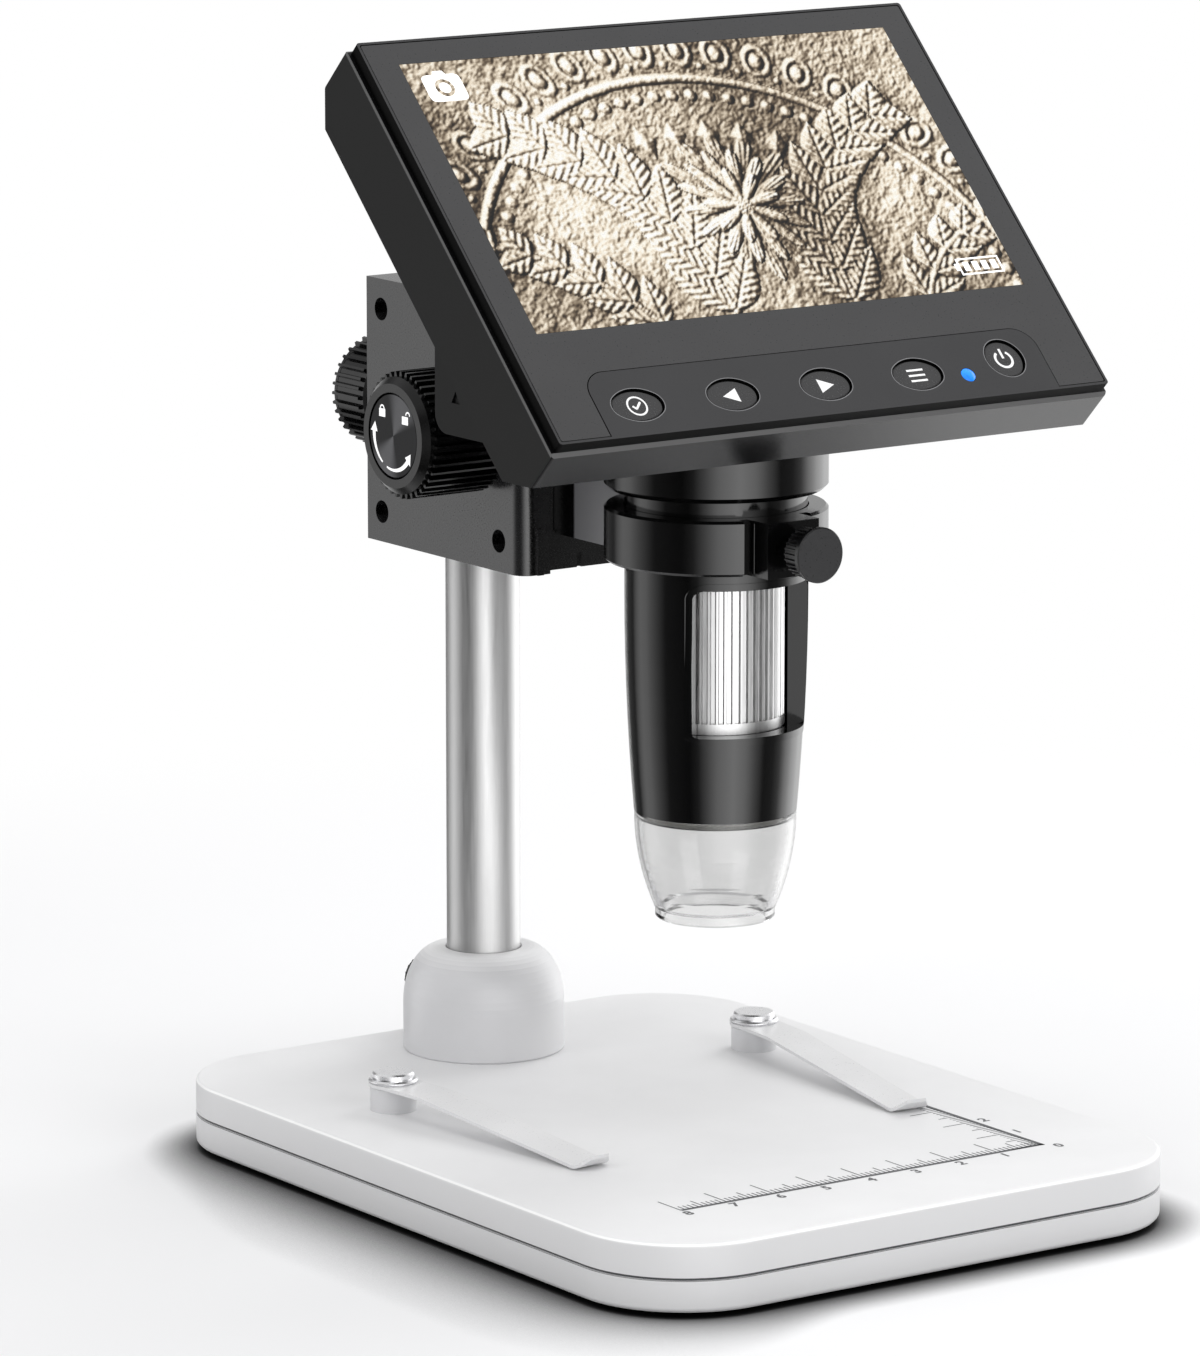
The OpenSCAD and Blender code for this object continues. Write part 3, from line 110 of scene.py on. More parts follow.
def makeFloor(setup):
    # a flat disc: ring k of a polar grid lies at an even share of the radius
    turn = np.linspace(0, 2 * math.pi, setup["spokes"], endpoint=False)
    radius = np.linspace(1e-4, setup["radius"], setup["rings"])
    x, y = radius[:, None] * np.cos(turn), radius[:, None] * np.sin(turn)
    points = np.stack([x, y, np.full_like(x, -setup["drop"])], -1).reshape(-1, 3)
    faces = gridFaces(setup["rings"], setup["spokes"], closed=True)[:, ::-1].tolist()
    faces.append(list(range(setup["spokes"])))
    mesh = bpy.data.meshes.new("studioFloor")
    mesh.from_pydata(points.tolist(), [], faces)
    floor = bpy.data.objects.new("studioFloor", mesh)
    bpy.context.scene.collection.objects.link(floor)
    material, tree, shader, coords = newMaterial("paleStudioPaper", {
        "Roughness": setup["rough"], "Specular IOR Level": setup["specular"]})
    smooth = {"interpolation_type": "SMOOTHSTEP"}
    place = addNode(tree, "ShaderNodeSeparateXYZ", links={0: coords}).outputs
    west, south = [
        addNode(tree, "ShaderNodeMapRange", {**smooth, 1: span[0], 2: span[1]}, {0: along}).outputs[0]
        for span, along in ((setup["westSpan"], place[0]), (setup["southSpan"], place[1]))]
    turnedAway = addNode(tree, "ShaderNodeMath", {"operation": "MULTIPLY"}, {0: west, 1: south})
    reach = addNode(tree, "ShaderNodeMapRange", {3: setup["shadeNear"], 4: setup["shadeFar"]},
                    {0: turnedAway.outputs[0]})
    # painted shadow: the paper's colour darkens towards black where ambient occlusion finds the object near
    openness = addNode(tree, "ShaderNodeAmbientOcclusion", {"samples": setup["shadeSamples"]},
                       {"Distance": reach.outputs[0]})
    shade = addNode(tree, "ShaderNodeMath", {"operation": "POWER", 1: setup["shadePower"]},
                    {0: openness.outputs["AO"]})
    colour = addNode(tree, "ShaderNodeMix", {
        "data_type": "RGBA", 6: (0.0, 0.0, 0.0, 1.0), 7: toLinear(setup["colour"])}, {0: shade.outputs[0]})
    tree.links.new(colour.outputs[2], shader.inputs["Base Color"])
    length = addNode(tree, "ShaderNodeVectorMath", {"operation": "LENGTH"}, {0: coords}).outputs["Value"]
    path = addNode(tree, "ShaderNodeLightPath").outputs

    def beyond(low, high, ray):
        # 1 for one kind of ray outside a circle, with a soft edge
        far = addNode(tree, "ShaderNodeMapRange", {**smooth, 1: low, 2: high}, {0: length}).outputs[0]
        return addNode(tree, "ShaderNodeMath", {"operation": "MULTIPLY"}, {0: far, 1: path[ray]}).outputs[0]
    white = addNode(tree, "ShaderNodeEmission", {"Color": (1, 1, 1, 1), "Strength": 1.0})
    gone = addNode(tree, "ShaderNodeBsdfTransparent")
    blend = addNode(tree, "ShaderNodeMixShader", links={
        0: beyond(setup["fadeFrom"], setup["fadeTo"], "Is Camera Ray"), 1: shader.outputs["BSDF"],
        2: white.outputs[0]})
    blend = addNode(tree, "ShaderNodeMixShader", links={
        0: beyond(setup["mirrorFrom"], setup["mirrorTo"], "Is Glossy Ray"), 1: blend.outputs[0],
        2: gone.outputs[0]})
    output = next(n for n in tree.nodes if n.type == "OUTPUT_MATERIAL")
    tree.links.new(blend.outputs[0], output.inputs["Surface"])
    mesh.materials.append(material)


# large soft lamps that reflections don't see, and a room that only reflections see
lightSetup = {
    "skyStrength": 0.53,
    "lamps": {
        # name: place, point it looks at, width, height, power in watts
        "backRightKey": ((0.85, 0.3, 0.75), (0.0, 0.0, 0.03), 0.6, 0.6, 4.2),
        "topSoftbox": ((0.0, -0.12, 1.2), (0.0, 0.0, 0.1), 1.0, 1.0, 6.2),
        "frontFill": ((0.2, -1.1, 0.5), (0.0, 0.0, 0.08), 0.7, 0.6, 3.2),
        "leftFill": ((-1.0, -0.1, 0.6), (0.0, 0.0, 0.08), 0.6, 0.6, 2.6),
    },
    # the room is dark with tall softboxes: degrees round from the front left, brightness there
    "room": ((-180, 0.7), (-160, 0.6), (-148, 0.15), (-130, 0.1), (-112, 1.35), (-100, 1.5), (-84, 0.8),
             (-68, 0.12), (-36, 0.03), (-24, 0.2), (-12, 1.1), (2, 2.5), (24, 3.6), (40, 2.7), (54, 1.1),
             (68, 0.12), (84, 0.2), (96, 0.6), (108, 2.0), (124, 2.7), (144, 2.1), (158, 1.2), (180, 0.7)),
    "frontLeft": (-0.573, -0.8195, 0.0), "right": (0.8195, -0.5731, 0.0),
    "brightest": 4.0, "ceiling": 0.75, "ceilingFrom": 0.35, "ceilingTo": 0.7,
}


def makeLight(setup):
    # each lamp is turned to face its target; the room's brightness goes by the angle round from the front left
    for name, (place, target, width, height, watts) in setup["lamps"].items():
        data = bpy.data.lights.new(name, "AREA")
        data.shape, data.size, data.size_y, data.energy = "RECTANGLE", width, height, watts
        lamp = bpy.data.objects.new(name, data)
        lamp.location = place
        lamp.rotation_euler = (Vector(target) - Vector(place)).to_track_quat("-Z", "Y").to_euler()
        lamp.visible_camera = lamp.visible_glossy = False
        bpy.context.scene.collection.objects.link(lamp)
    world = bpy.data.worlds.new("softRoom")
    world.use_nodes = True
    bpy.context.scene.world = world
    tree = world.node_tree
    tree.nodes.clear()
    path = addNode(tree, "ShaderNodeLightPath").outputs
    direction = addNode(tree, "ShaderNodeTexCoord").outputs["Generated"]
    sideways, ahead = [addNode(tree, "ShaderNodeVectorMath", {"operation": "DOT_PRODUCT", 1: setup[axis]},
                               {0: direction}).outputs["Value"] for axis in ("right", "frontLeft")]
    turn = addNode(tree, "ShaderNodeMath", {"operation": "ARCTAN2"}, {0: sideways, 1: ahead})
    share = addNode(tree, "ShaderNodeMapRange", {1: -math.pi, 2: math.pi}, {0: turn.outputs[0]})
    ramp = addNode(tree, "ShaderNodeValToRGB", links={0: share.outputs[0]})
    for degrees, level in setup["room"][1:-1]:
        ramp.color_ramp.elements.new((degrees + 180) / 360)
    for stop, (degrees, level) in zip(ramp.color_ramp.elements, setup["room"]):
        stop.color = (*[level / setup["brightest"]] * 3, 1.0)
    around = addNode(tree, "ShaderNodeMath", {"operation": "MULTIPLY", 1: setup["brightest"]},
                     {0: ramp.outputs[0]})
    height = addNode(tree, "ShaderNodeSeparateXYZ", links={0: direction}).outputs[2]
    above = addNode(tree, "ShaderNodeMapRange", {
        "interpolation_type": "SMOOTHSTEP", 1: setup["ceilingFrom"], 2: setup["ceilingTo"]}, {0: height})
    room = addNode(tree, "ShaderNodeMix", {"data_type": "FLOAT", 3: setup["ceiling"]},
                   {0: above.outputs[0], 2: around.outputs[0]})
    sky = addNode(tree, "ShaderNodeBackground", {"Color": (1, 1, 1, 1), "Strength": setup["skyStrength"]})
    backdrop = addNode(tree, "ShaderNodeBackground", {"Color": (1, 1, 1, 1), "Strength": 1.0})
    mirrored = addNode(tree, "ShaderNodeBackground", {"Color": (1, 1, 1, 1)}, {"Strength": room.outputs[0]})
    seen = addNode(tree, "ShaderNodeMath", {"operation": "MAXIMUM"},
                   {0: path["Is Camera Ray"], 1: path["Is Transmission Ray"]})
    blend = addNode(tree, "ShaderNodeMixShader", links={
        0: path["Is Glossy Ray"], 1: sky.outputs[0], 2: mirrored.outputs[0]})
    blend = addNode(tree, "ShaderNodeMixShader", links={
        0: seen.outputs[0], 1: blend.outputs[0], 2: backdrop.outputs[0]})
    addNode(tree, "ShaderNodeOutputWorld", links={"Surface": blend.outputs[0]})
    world.cycles.sampling_method = "NONE"
    bpy.context.scene.view_settings.view_transform = "Standard"


makeCamera(cameraSetup)
makeFloor(floorSetup)
makeLight(lightSetup)
print("camera, floor and light ready")


noiseSpan = {1: 0.3, 2: 0.7}      # noise lies mostly between these, and Map Range stretches it from them
cloudMm = 18.0                    # soft clouds in a moulded colour
mouldGrainMm = 0.35               # grain that a mould's surface leaves, coarser than real so that it shows
mouldDeepMm = 0.02                # how deep that grain lies
toolDeepMm = 0.015                # how deep a cutter's lines lie in metal
rippleMm = 3.0                    # soft waves in clear plastic and glass


def patchMask(tree, coords, where):
    # 1 where a surface faces along an axis, or lies in a slice across one, in metres, with a soft edge
    normal = next(n for n in tree.nodes if n.type == "TEX_COORD").outputs["Normal"]
    mask = None
    for kind, axis, low, high, soft in where:
        along = addNode(tree, "ShaderNodeVectorMath", {"operation": "DOT_PRODUCT", 1: axis},
                        {0: normal if kind == "facing" else coords}).outputs["Value"]
        for start, end in ((low - soft, low + soft), (high + soft, high - soft)):
            step = addNode(tree, "ShaderNodeMapRange", {1: start, 2: end}, {0: along}).outputs[0]
            mask = step if mask is None else addNode(
                tree, "ShaderNodeMath", {"operation": "MULTIPLY"}, {0: mask, 1: step}).outputs[0]
    return mask


def twoColours(tree, noise, look):
    # a finish's two colours, mixed by the share that a stretched noise gives
    share = addNode(tree, "ShaderNodeMapRange", noiseSpan, {0: noise.outputs[0]})
    return addNode(tree, "ShaderNodeMix", {
        "data_type": "RGBA", 6: toLinear(look["colour"]), 7: toLinear(look["colourB"])},
        {0: share.outputs[0]}).outputs[2]


def mouldedPlastic(name, look):
    # injection-moulded ABS: an even colour with the faint grain of the tool and soft, slightly uneven gloss
    material, tree, shader, coords = newMaterial(name, {
        "IOR": look.get("ior", 1.5), "Specular IOR Level": look.get("specular", 0.5)})
    grainMm = look.get("grainMm", mouldGrainMm)
    cloud = addNode(tree, "ShaderNodeTexNoise", {"Scale": 1 / (cloudMm * mm), "Detail": 3.0},
                    {"Vector": coords})
    grain = addNode(tree, "ShaderNodeTexNoise", {"Scale": 1 / (grainMm * mm), "Detail": 2.0},
                    {"Vector": coords})
    colour = twoColours(tree, cloud, look)
    rough = addNode(tree, "ShaderNodeMapRange", {
        **noiseSpan, 3: look["rough"] - 0.03, 4: look["rough"] + 0.05}, {0: grain.outputs[0]}).outputs[0]
    for patch in look.get("patches", ()):
        mask = patchMask(tree, coords, patch["where"])
        colour = addNode(tree, "ShaderNodeMix", {"data_type": "RGBA", 7: toLinear(patch["colour"])},
                         {0: mask, 6: colour}).outputs[2]
        if "rough" in patch:
            rough = addNode(tree, "ShaderNodeMix", {"data_type": "FLOAT", 3: patch["rough"]},
                            {0: mask, 2: rough}).outputs[0]
    bump = addNode(tree, "ShaderNodeBump", {"Strength": look.get("bump", 0.12), "Distance": mouldDeepMm * mm},
                   {"Height": grain.outputs[0]})
    tree.links.new(colour, shader.inputs["Base Color"])
    tree.links.new(rough, shader.inputs["Roughness"])
    tree.links.new(bump.outputs[0], shader.inputs["Normal"])
    return material


def workedMetal(name, look):
    # metal with fine tool lines: noise squeezed along one axis, or rings round an axis for spun work
    material, tree, shader, coords = newMaterial(name, {"Metallic": 1.0})
    if "ringsAt" in look:
        # distance from the spinning axis, which lies along X
        centred = addNode(tree, "ShaderNodeMapping", {"Location": [-c for c in look["ringsAt"]]},
                          {"Vector": coords})
        flat = addNode(tree, "ShaderNodeVectorMath", {"operation": "MULTIPLY", 1: (0.0, 1.0, 1.0)},
                       {0: centred.outputs[0]})
        length = addNode(tree, "ShaderNodeVectorMath", {"operation": "LENGTH"}, {0: flat.outputs[0]})
        vector = addNode(tree, "ShaderNodeCombineXYZ", links={0: length.outputs["Value"]})
    else:
        vector = addNode(tree, "ShaderNodeMapping", {"Scale": look["stretch"]}, {"Vector": coords})
    lines = addNode(tree, "ShaderNodeTexNoise", {"Scale": 1 / (look["lineMm"] * mm), "Detail": 3.0},
                    {"Vector": vector.outputs[0]})
    colour = twoColours(tree, lines, look)
    if "fan" in look:
        # a painted reflection, two pale rays of light from the centre: the cosine of twice the angle round the
        # axis
        side = addNode(tree, "ShaderNodeSeparateXYZ", links={0: flat.outputs[0]}).outputs
        turn = addNode(tree, "ShaderNodeMath", {"operation": "ARCTAN2"}, {0: side[2], 1: side[1]})
        twice = addNode(tree, "ShaderNodeMath", {
            "operation": "MULTIPLY_ADD", 1: 2.0, 2: -2 * math.radians(look["fanAt"])}, {0: turn.outputs[0]})
        wave = addNode(tree, "ShaderNodeMath", {"operation": "COSINE"}, {0: twice.outputs[0]})
        ray = addNode(tree, "ShaderNodeMapRange", {"interpolation_type": "SMOOTHSTEP", 1: 0.0, 2: 1.0},
                      {0: wave.outputs[0]})
        colour = addNode(tree, "ShaderNodeMix", {"data_type": "RGBA", 7: toLinear(look["fan"])},
                         {0: ray.outputs[0], 6: colour}).outputs[2]
    rough = addNode(tree, "ShaderNodeMapRange", {
        **noiseSpan, 3: look["rough"] - 0.05, 4: look["rough"] + 0.07}, {0: lines.outputs[0]})
    bump = addNode(tree, "ShaderNodeBump", {"Strength": look.get("bump", 0.15), "Distance": toolDeepMm * mm},
                   {"Height": lines.outputs[0]})
    tree.links.new(colour, shader.inputs["Base Color"])
    tree.links.new(rough.outputs[0], shader.inputs["Roughness"])
    tree.links.new(bump.outputs[0], shader.inputs["Normal"])
    return material


def clearPlastic(name, look):
    # injection-moulded clear PMMA or glass: sharp edges of light, a trace of grey where it is thick
    material, tree, shader, coords = newMaterial(name, {"IOR": look["ior"], "Transmission Weight": 1.0})
    ripple = addNode(tree, "ShaderNodeTexNoise", {"Scale": 1 / (rippleMm * mm), "Detail": 1.0},
                     {"Vector": coords})
    colour = addNode(tree, "ShaderNodeMix", {
        "data_type": "RGBA", 6: toLinear(look["colour"]), 7: toLinear(look["colourB"])},
        {0: ripple.outputs[0]})
    rough = addNode(tree, "ShaderNodeMapRange", {**noiseSpan, 3: look["rough"], 4: look["rough"] + 0.02},
                    {0: ripple.outputs[0]})
    tree.links.new(colour.outputs[2], shader.inputs["Base Color"])
    tree.links.new(rough.outputs[0], shader.inputs["Roughness"])
    return material


def glowing(name, look):
    # a lit surface: its own light over a thin clear skin
    material, tree, shader, coords = newMaterial(name, {"Roughness": 0.2, "Emission Strength": look["glow"]})
    spots = addNode(tree, "ShaderNodeTexNoise", {"Scale": 1 / (look["spotMm"] * mm), "Detail": 1.0},
                    {"Vector": coords})
    colour = twoColours(tree, spots, look)
    tree.links.new(colour, shader.inputs["Base Color"])
    tree.links.new(colour, shader.inputs["Emission Color"])
    return material


xAxis, yAxis, zAxis = (1.0, 0.0, 0.0), (0.0, 1.0, 0.0), (0.0, 0.0, 1.0)
litSide = (0.82, -0.57, 0.0)                                # towards the right and the front
faceAxis = (0.0, -math.sqrt(0.5), math.sqrt(0.5))           # out of the screen's face
faceAt = 0.14227                                            # where the face lies along that, in metres

# each look names the nodes that it goes on; a look without nodes is for the pieces made further down
plastics = {
    # socket and clip posts: satin white; painted shade makes them a greyer copy of the covers' white, and
    # painted light makes them paler on top and on the lit side
    "greyWhiteAbs": {
        "colour": "#d6d6d8", "colourB": "#dbdbdd", "rough": 0.34, "bump": 0.05,
        "nodes": ("column_socket", "clip_left_post", "clip_right_post"),
        "patches": (
            # painted light: paler on the lit side and on top
            {"where": (("facing", litSide, 0.7, 1.2, 0.4),), "colour": "#e9e9ea"},
            {"where": (("facing", zAxis, 0.75, 1.2, 0.2),), "colour": "#f4f4f5"})},
    # the base's covers: satin white, with a painted highlight on the rounded edges, painted shade on the
    # walls, and a dark painted shade in the seam's groove
    "whiteCoverAbs": {
        "colour": "#e9e9ea", "colourB": "#ededee", "rough": 0.4, "bump": 0.06,
        "nodes": ("base_top_cover", "base_bottom_cover"),
        "patches": (
            # painted shade: the walls greyer
            {"where": (("facing", zAxis, -0.3, 0.3, 0.1),), "colour": "#dededf"},
            # painted highlight: the rounded top edges white
            {"where": (("facing", zAxis, 0.42, 0.8, 0.05),), "colour": "#ffffff"},
            # painted shade: a dark band in the seam's groove
            {"where": (("facing", zAxis, -0.5, 0.5, 0.05), ("slice", zAxis, 0.0066, 0.0072, 0.00005)),
             "colour": "#58595b", "rough": 0.8})},
    # the column's plug: glossy black that picks up dim reflections
    "glossBlackAbs": {
        "colour": "#0b0b0c", "colourB": "#101011", "rough": 0.2, "specular": 0.3, "bump": 0.06,
        "nodes": ("column_cap",)},
    # the housing: glossy black, its flat ends spark-eroded, so rougher, and painted darker as shade, with a
    # painted highlight along its front edge
    "housingBlackAbs": {
        "colour": "#0a0a0b", "colourB": "#0e0e0f", "rough": 0.2, "specular": 0.3, "bump": 0.06,
        "nodes": ("rear_housing",),
        "patches": (
            # painted shade: the flat ends darker, as well as rougher
            {"where": (("facing", xAxis, -1.1, -0.9, 0.03),), "colour": "#050505", "rough": 0.62},
            {"where": (("facing", xAxis, 0.9, 1.1, 0.03),), "colour": "#050505", "rough": 0.5},
            # painted highlight: a pale line along the front edge, and along the flank below it
            {"where": (("facing", faceAxis, 0.35, 0.95, 0.03),
                       ("slice", faceAxis, faceAt - 0.0032, faceAt - 0.0023, 0.0001)), "colour": "#6a6a6a"},
            {"where": (("facing", xAxis, -1.1, -0.9, 0.03),
                       ("slice", faceAxis, faceAt - 0.0031, faceAt - 0.00245, 0.0001)), "colour": "#5c5c5c"})},
    # the carriage: milled black acetal, whose flat sides read dark grey; its front is painted deep black as
    # shade
    "satinBlackAcetal": {
        "colour": "#1d1d1e", "colourB": "#222223", "rough": 0.24, "ior": 1.58, "bump": 0.03,
        "nodes": ("carriage_left_half", "carriage_right_half"),
        # painted shade: the front darker than the sides
        "patches": ({"where": (("facing", yAxis, -1.1, -0.9, 0.03),), "colour": "#040404"},)},
    # the scope: polished black, a near mirror with bright edges
    "polishedBlackAbs": {
        "colour": "#060607", "colourB": "#090909", "rough": 0.1, "bump": 0.02,
        "nodes": ("neck_collar", "scope_body")},
    # the arm: polished black, with painted light on its web's left flank: a grey patch
    "armBlackAbs": {
        "colour": "#060607", "colourB": "#090909", "rough": 0.13, "bump": 0.04,
        "nodes": ("scope_arm",),
        "patches": (
            # painted light: the web's left flank grey
            {"where": (("facing", xAxis, -1.1, -0.97, 0.01), ("slice", yAxis, 0.005, 0.0228, 0.0003)),
             "colour": "#68686a", "rough": 0.4},)},
    # knobs: deep black with a dim, narrow sheen
    "knobBlackAbs": {
        "colour": "#040404", "colourB": "#080809", "rough": 0.17, "specular": 0.34, "bump": 0.03,
        "nodes": ("column_lock_screw", "height_lock_knob", "focus_knob", "focus_lock_knob")},
    # the ring's thumb screw: black, with a flat grey end
    "thumbBlackAbs": {
        "colour": "#08080a", "colourB": "#0d0d0e", "rough": 0.3, "bump": 0.1,
        "nodes": ("ring_thumb_screw",),
        "patches": ({"where": (("facing", yAxis, -1.1, -0.9, 0.03),), "colour": "#333334"},)},
    # the face sheet: charcoal, satin
    "charcoalFaceAbs": {
        "colour": "#353536", "colourB": "#383839", "rough": 0.3, "bump": 0.05, "nodes": ("front_panel",)},
    # the frame: charcoal; its bevel, its walls and the floor of its grooves are painted black as shade,
    # framing the face
    "charcoalFrameAbs": {
        "colour": "#414142", "colourB": "#444445", "rough": 0.3, "specular": 0.06, "bump": 0.05,
        "nodes": ("front_frame",),
        "patches": (
            # painted shade: the bevel and the walls black
            {"where": (("facing", faceAxis, -1.1, 0.93, 0.02),), "colour": "#020202", "rough": 0.6},
            # painted shade: the floor of the grooves black
            {"where": (("slice", faceAxis, faceAt - 0.003, faceAt - 0.0006, 0.0001),), "colour": "#020202",
             "rough": 0.6})},
    # painted highlight: a grey line on the cut edges of the buttons' holes, where they catch the light
    "greyEdgeAbs": {"colour": "#757577", "colourB": "#838385", "rough": 0.3, "bump": 0.05},
    # button caps: charcoal, a touch smoother than the face
    "charcoalCapAbs": {
        "colour": "#303031", "colourB": "#343435", "rough": 0.24, "bump": 0.05,
        "nodes": ("ok_button", "left_button", "right_button", "menu_button", "power_button")},
    # natural acetal of the sleeve: waxy off-white
    "naturalAcetal": {"colour": "#dcdcd2", "colourB": "#e2e2d9", "rough": 0.4, "nodes": ("column_sleeve",)},
    # rubber of the feet: matt black, coarser grain
    "mattRubber": {
        "colour": "#1b1b1c", "colourB": "#242425", "rough": 0.75, "grainMm": 0.8, "bump": 0.4,
        "nodes": ("base_feet",)},
    # glass-epoxy boards: green solder mask over a faint weave
    "greenBoard": {
        "colour": "#0f4a2b", "colourB": "#155a35", "rough": 0.35, "grainMm": 0.6, "bump": 0.25,
        "nodes": ("main_board", "button_board", "sensor_board")},
    # the lights' board: white solder mask
    "whiteBoard": {"colour": "#e6e6df", "colourB": "#efefe9", "rough": 0.45, "nodes": ("light_board",)},
    # glass over the display: near black, with a sharp sheen
    "darkGlass": {"colour": "#101012", "colourB": "#141416", "rough": 0.08, "nodes": ("screen_glass",)},
    # clip strips: white enamel on spring steel, satin
    "whiteEnamel": {
        "colour": "#dededf", "colourB": "#e6e6e7", "rough": 0.3, "bump": 0.05,
        "nodes": ("clip_left_strip", "clip_right_strip")},
    # printed marks: matt ink, grey on the base and white on the caps
    "greyInk": {"colour": "#5c5d5f", "colourB": "#6a6b6d", "rough": 0.6, "grainMm": 0.2},
    "whiteInk": {"colour": "#f4f4f4", "colourB": "#fbfbfb", "rough": 0.5, "grainMm": 0.2},
}
# lineMm is the spacing of the tool's lines, coarser than real so that they show
metals = {
    # the column: satin anodised aluminium, with drawn lines along its length
    "satinAnodised": {
        "colour": "#bebebe", "colourB": "#c7c7c7", "rough": 0.43, "lineMm": 0.25, "stretch": (1, 1, 0.02),
        "nodes": ("column_tube",)},
    # the focus wheel: cast and turned, silver
    "satinSilver": {
        "colour": "#b4b4b4", "colourB": "#c0c0c0", "rough": 0.34, "lineMm": 0.3, "stretch": (1, 1, 0.05),
        "nodes": ("focus_wheel",)},
    # clip buttons: polished nickel plate, bright with crisp dark edges
    "polishedNickel": {
        "colour": "#eeeef0", "colourB": "#f3f3f4", "rough": 0.3, "lineMm": 0.3, "stretch": (1, 1, 1),
        "bump": 0.05, "nodes": ("clip_left_button", "clip_right_button")},
    # plain steel: zinc plate, dull and a little blue
    "zincSteel": {
        "colour": "#9fa2a6", "colourB": "#b0b3b7", "rough": 0.38, "lineMm": 0.3, "stretch": (1, 0.1, 1),
        "nodes": ("base_steel_plate", "base_screws", "column_bolt", "focus_shaft", "housing_screws",
                  "usb_socket", "card_socket", "lcd_module")},
    # the carriage's screws: black oxide, dull
    "blackOxide": {
        "colour": "#2a2a2c", "colourB": "#363639", "rough": 0.45, "lineMm": 0.3, "stretch": (1, 1, 1),
        "nodes": ("carriage_screws",)},
    # gears and bushes: cut brass, yellow with lines of the cutter
    "cutBrass": {
        "colour": "#b2914c", "colourB": "#c4a45d", "rough": 0.3, "lineMm": 0.2, "stretch": (0.1, 1, 1),
        "nodes": ("focus_pinion", "focus_rack", "shaft_bushes")},
    # inside tubes: black anodised, dark so that no light strays
    "anodisedBlack": {
        "colour": "#1a1a1c", "colourB": "#252527", "rough": 0.35, "lineMm": 0.2, "stretch": (1, 1, 1),
        "nodes": ("sensor_tube", "lens_barrel")},
    # the lock knob's disc: spun dark metal, with a painted reflection of two soft rays, as its rings fan the
    # light
    "spunDarkDisc": {
        "colour": "#1c1c1d", "colourB": "#2b2b2c", "rough": 0.34, "lineMm": 0.16, "bump": 0.4,
        "fan": "#58585a", "fanAt": 118, "ringsAt": (-0.034, 0.0382, 0.1369), "nodes": ("lock_knob_disc",)},
    # the battery: foil pouch, soft grey sheen
    "foilPouch": {
        "colour": "#8d9094", "colourB": "#a0a3a7", "rough": 0.42, "lineMm": 1.2, "stretch": (1, 1, 1),
        "nodes": ("battery",)},
}
clears = {
    # the hood: clear moulded PMMA, a little hazy
    "clearPmma": {
        "colour": "#e4e4e4", "colourB": "#e7e7e7", "rough": 0.06, "ior": 1.45, "nodes": ("lens_hood",)},
    # the lenses: ground glass, with a faint blue coating
    "lensGlass": {
        "colour": "#eef4fa", "colourB": "#f6fafc", "rough": 0.0, "ior": 1.52, "nodes": ("lens_elements",)},
}
lights = {
    # the status light's lens: lit blue
    "blueLed": {
        "colour": "#0f66cc", "colourB": "#1e80e6", "glow": 0.8, "spotMm": 1.2, "nodes": ("status_light",)},
    # the scope's lights: warm phosphor
    "warmLed": {
        "colour": "#fff0cf", "colourB": "#fff8e6", "glow": 0.6, "spotMm": 0.8, "nodes": ("light_leds",)},
    # the disc's marks: thick white enamel, with a painted glow that keeps them white in the shade
    "brightEnamel": {"colour": "#f2f2f2", "colourB": "#fbfbfb", "glow": 0.35, "spotMm": 0.8},
    # signs over the picture: lit white
    "whiteSign": {"colour": "#fbfbfa", "colourB": "#ffffff", "glow": 0.6, "spotMm": 2.0},
}

finishes = {}
dressed = 0
for makeFinish, looks in ((mouldedPlastic, plastics), (workedMetal, metals), (clearPlastic, clears),
                          (glowing, lights)):
    for finishName, look in looks.items():
        finishes[finishName] = makeFinish(finishName, look)
        for nodeName in look.get("nodes", ()):
            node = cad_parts[nodeName]
            if not node.material_slots:
                node.data.materials.append(finishes[finishName])
            for materialSlot in node.material_slots:
                materialSlot.material = finishes[finishName]
            dressed += 1
print("finishes on", dressed, "nodes")


def meshPiece(name, points, faces, body, material):
    # a new piece from plain arrays, riding on a body of the frame
    mesh = bpy.data.meshes.new(name)
    mesh.from_pydata(points.tolist(), [], faces)
    mesh.update()
    mesh.polygons.foreach_set("use_smooth", [False] * len(mesh.polygons))
    mesh.materials.append(material)
    piece = bpy.data.objects.new(name, mesh)
    bpy.context.scene.collection.objects.link(piece)
    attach(piece, body)
    return piece


def arcPath(radius, fromDeg, toDeg, steps=24, centre=(0, 0)):
    # points on a circle's arc: the centre plus the radius times cosine and sine
    turn = np.radians(np.linspace(fromDeg, toDeg, steps))
    return np.stack([centre[0] + radius * np.cos(turn), centre[1] + radius * np.sin(turn)], 1)


def ribbonFaces(count):
    # quads across a ribbon whose outline runs out on one side and back on the other
    i = np.arange(count // 2 - 1)
    return np.stack([i, count - 1 - i, count - 2 - i, i + 1], 1).tolist()


def ribbon(points, width):
    # an open path's ribbon: each point moves half the width to both sides, square to the path
    path = np.asarray(points, float)
    along = np.gradient(path, axis=0)
    along /= np.linalg.norm(along, axis=1, keepdims=True)
    side = np.stack([-along[:, 1], along[:, 0]], 1) * (np.asarray(width, float).reshape(-1, 1) / 2)
    outline = np.concatenate([path + side, (path - side)[::-1]])
    return outline, ribbonFaces(len(outline))


def flatPiece(name, shapes, place, body, material):
    # shapes: (outline in mm, faces or None for one polygon), joined to one mesh; place turns them to metres
    points, faces, start = [], [], 0
    for outline, shapeFaces in shapes:
        points.append(np.asarray(outline, float))
        faces += [[start + k for k in face] for face in shapeFaces or [range(len(outline))]]
        start += len(outline)
    return meshPiece(name, place(np.concatenate(points)), faces, body, material)


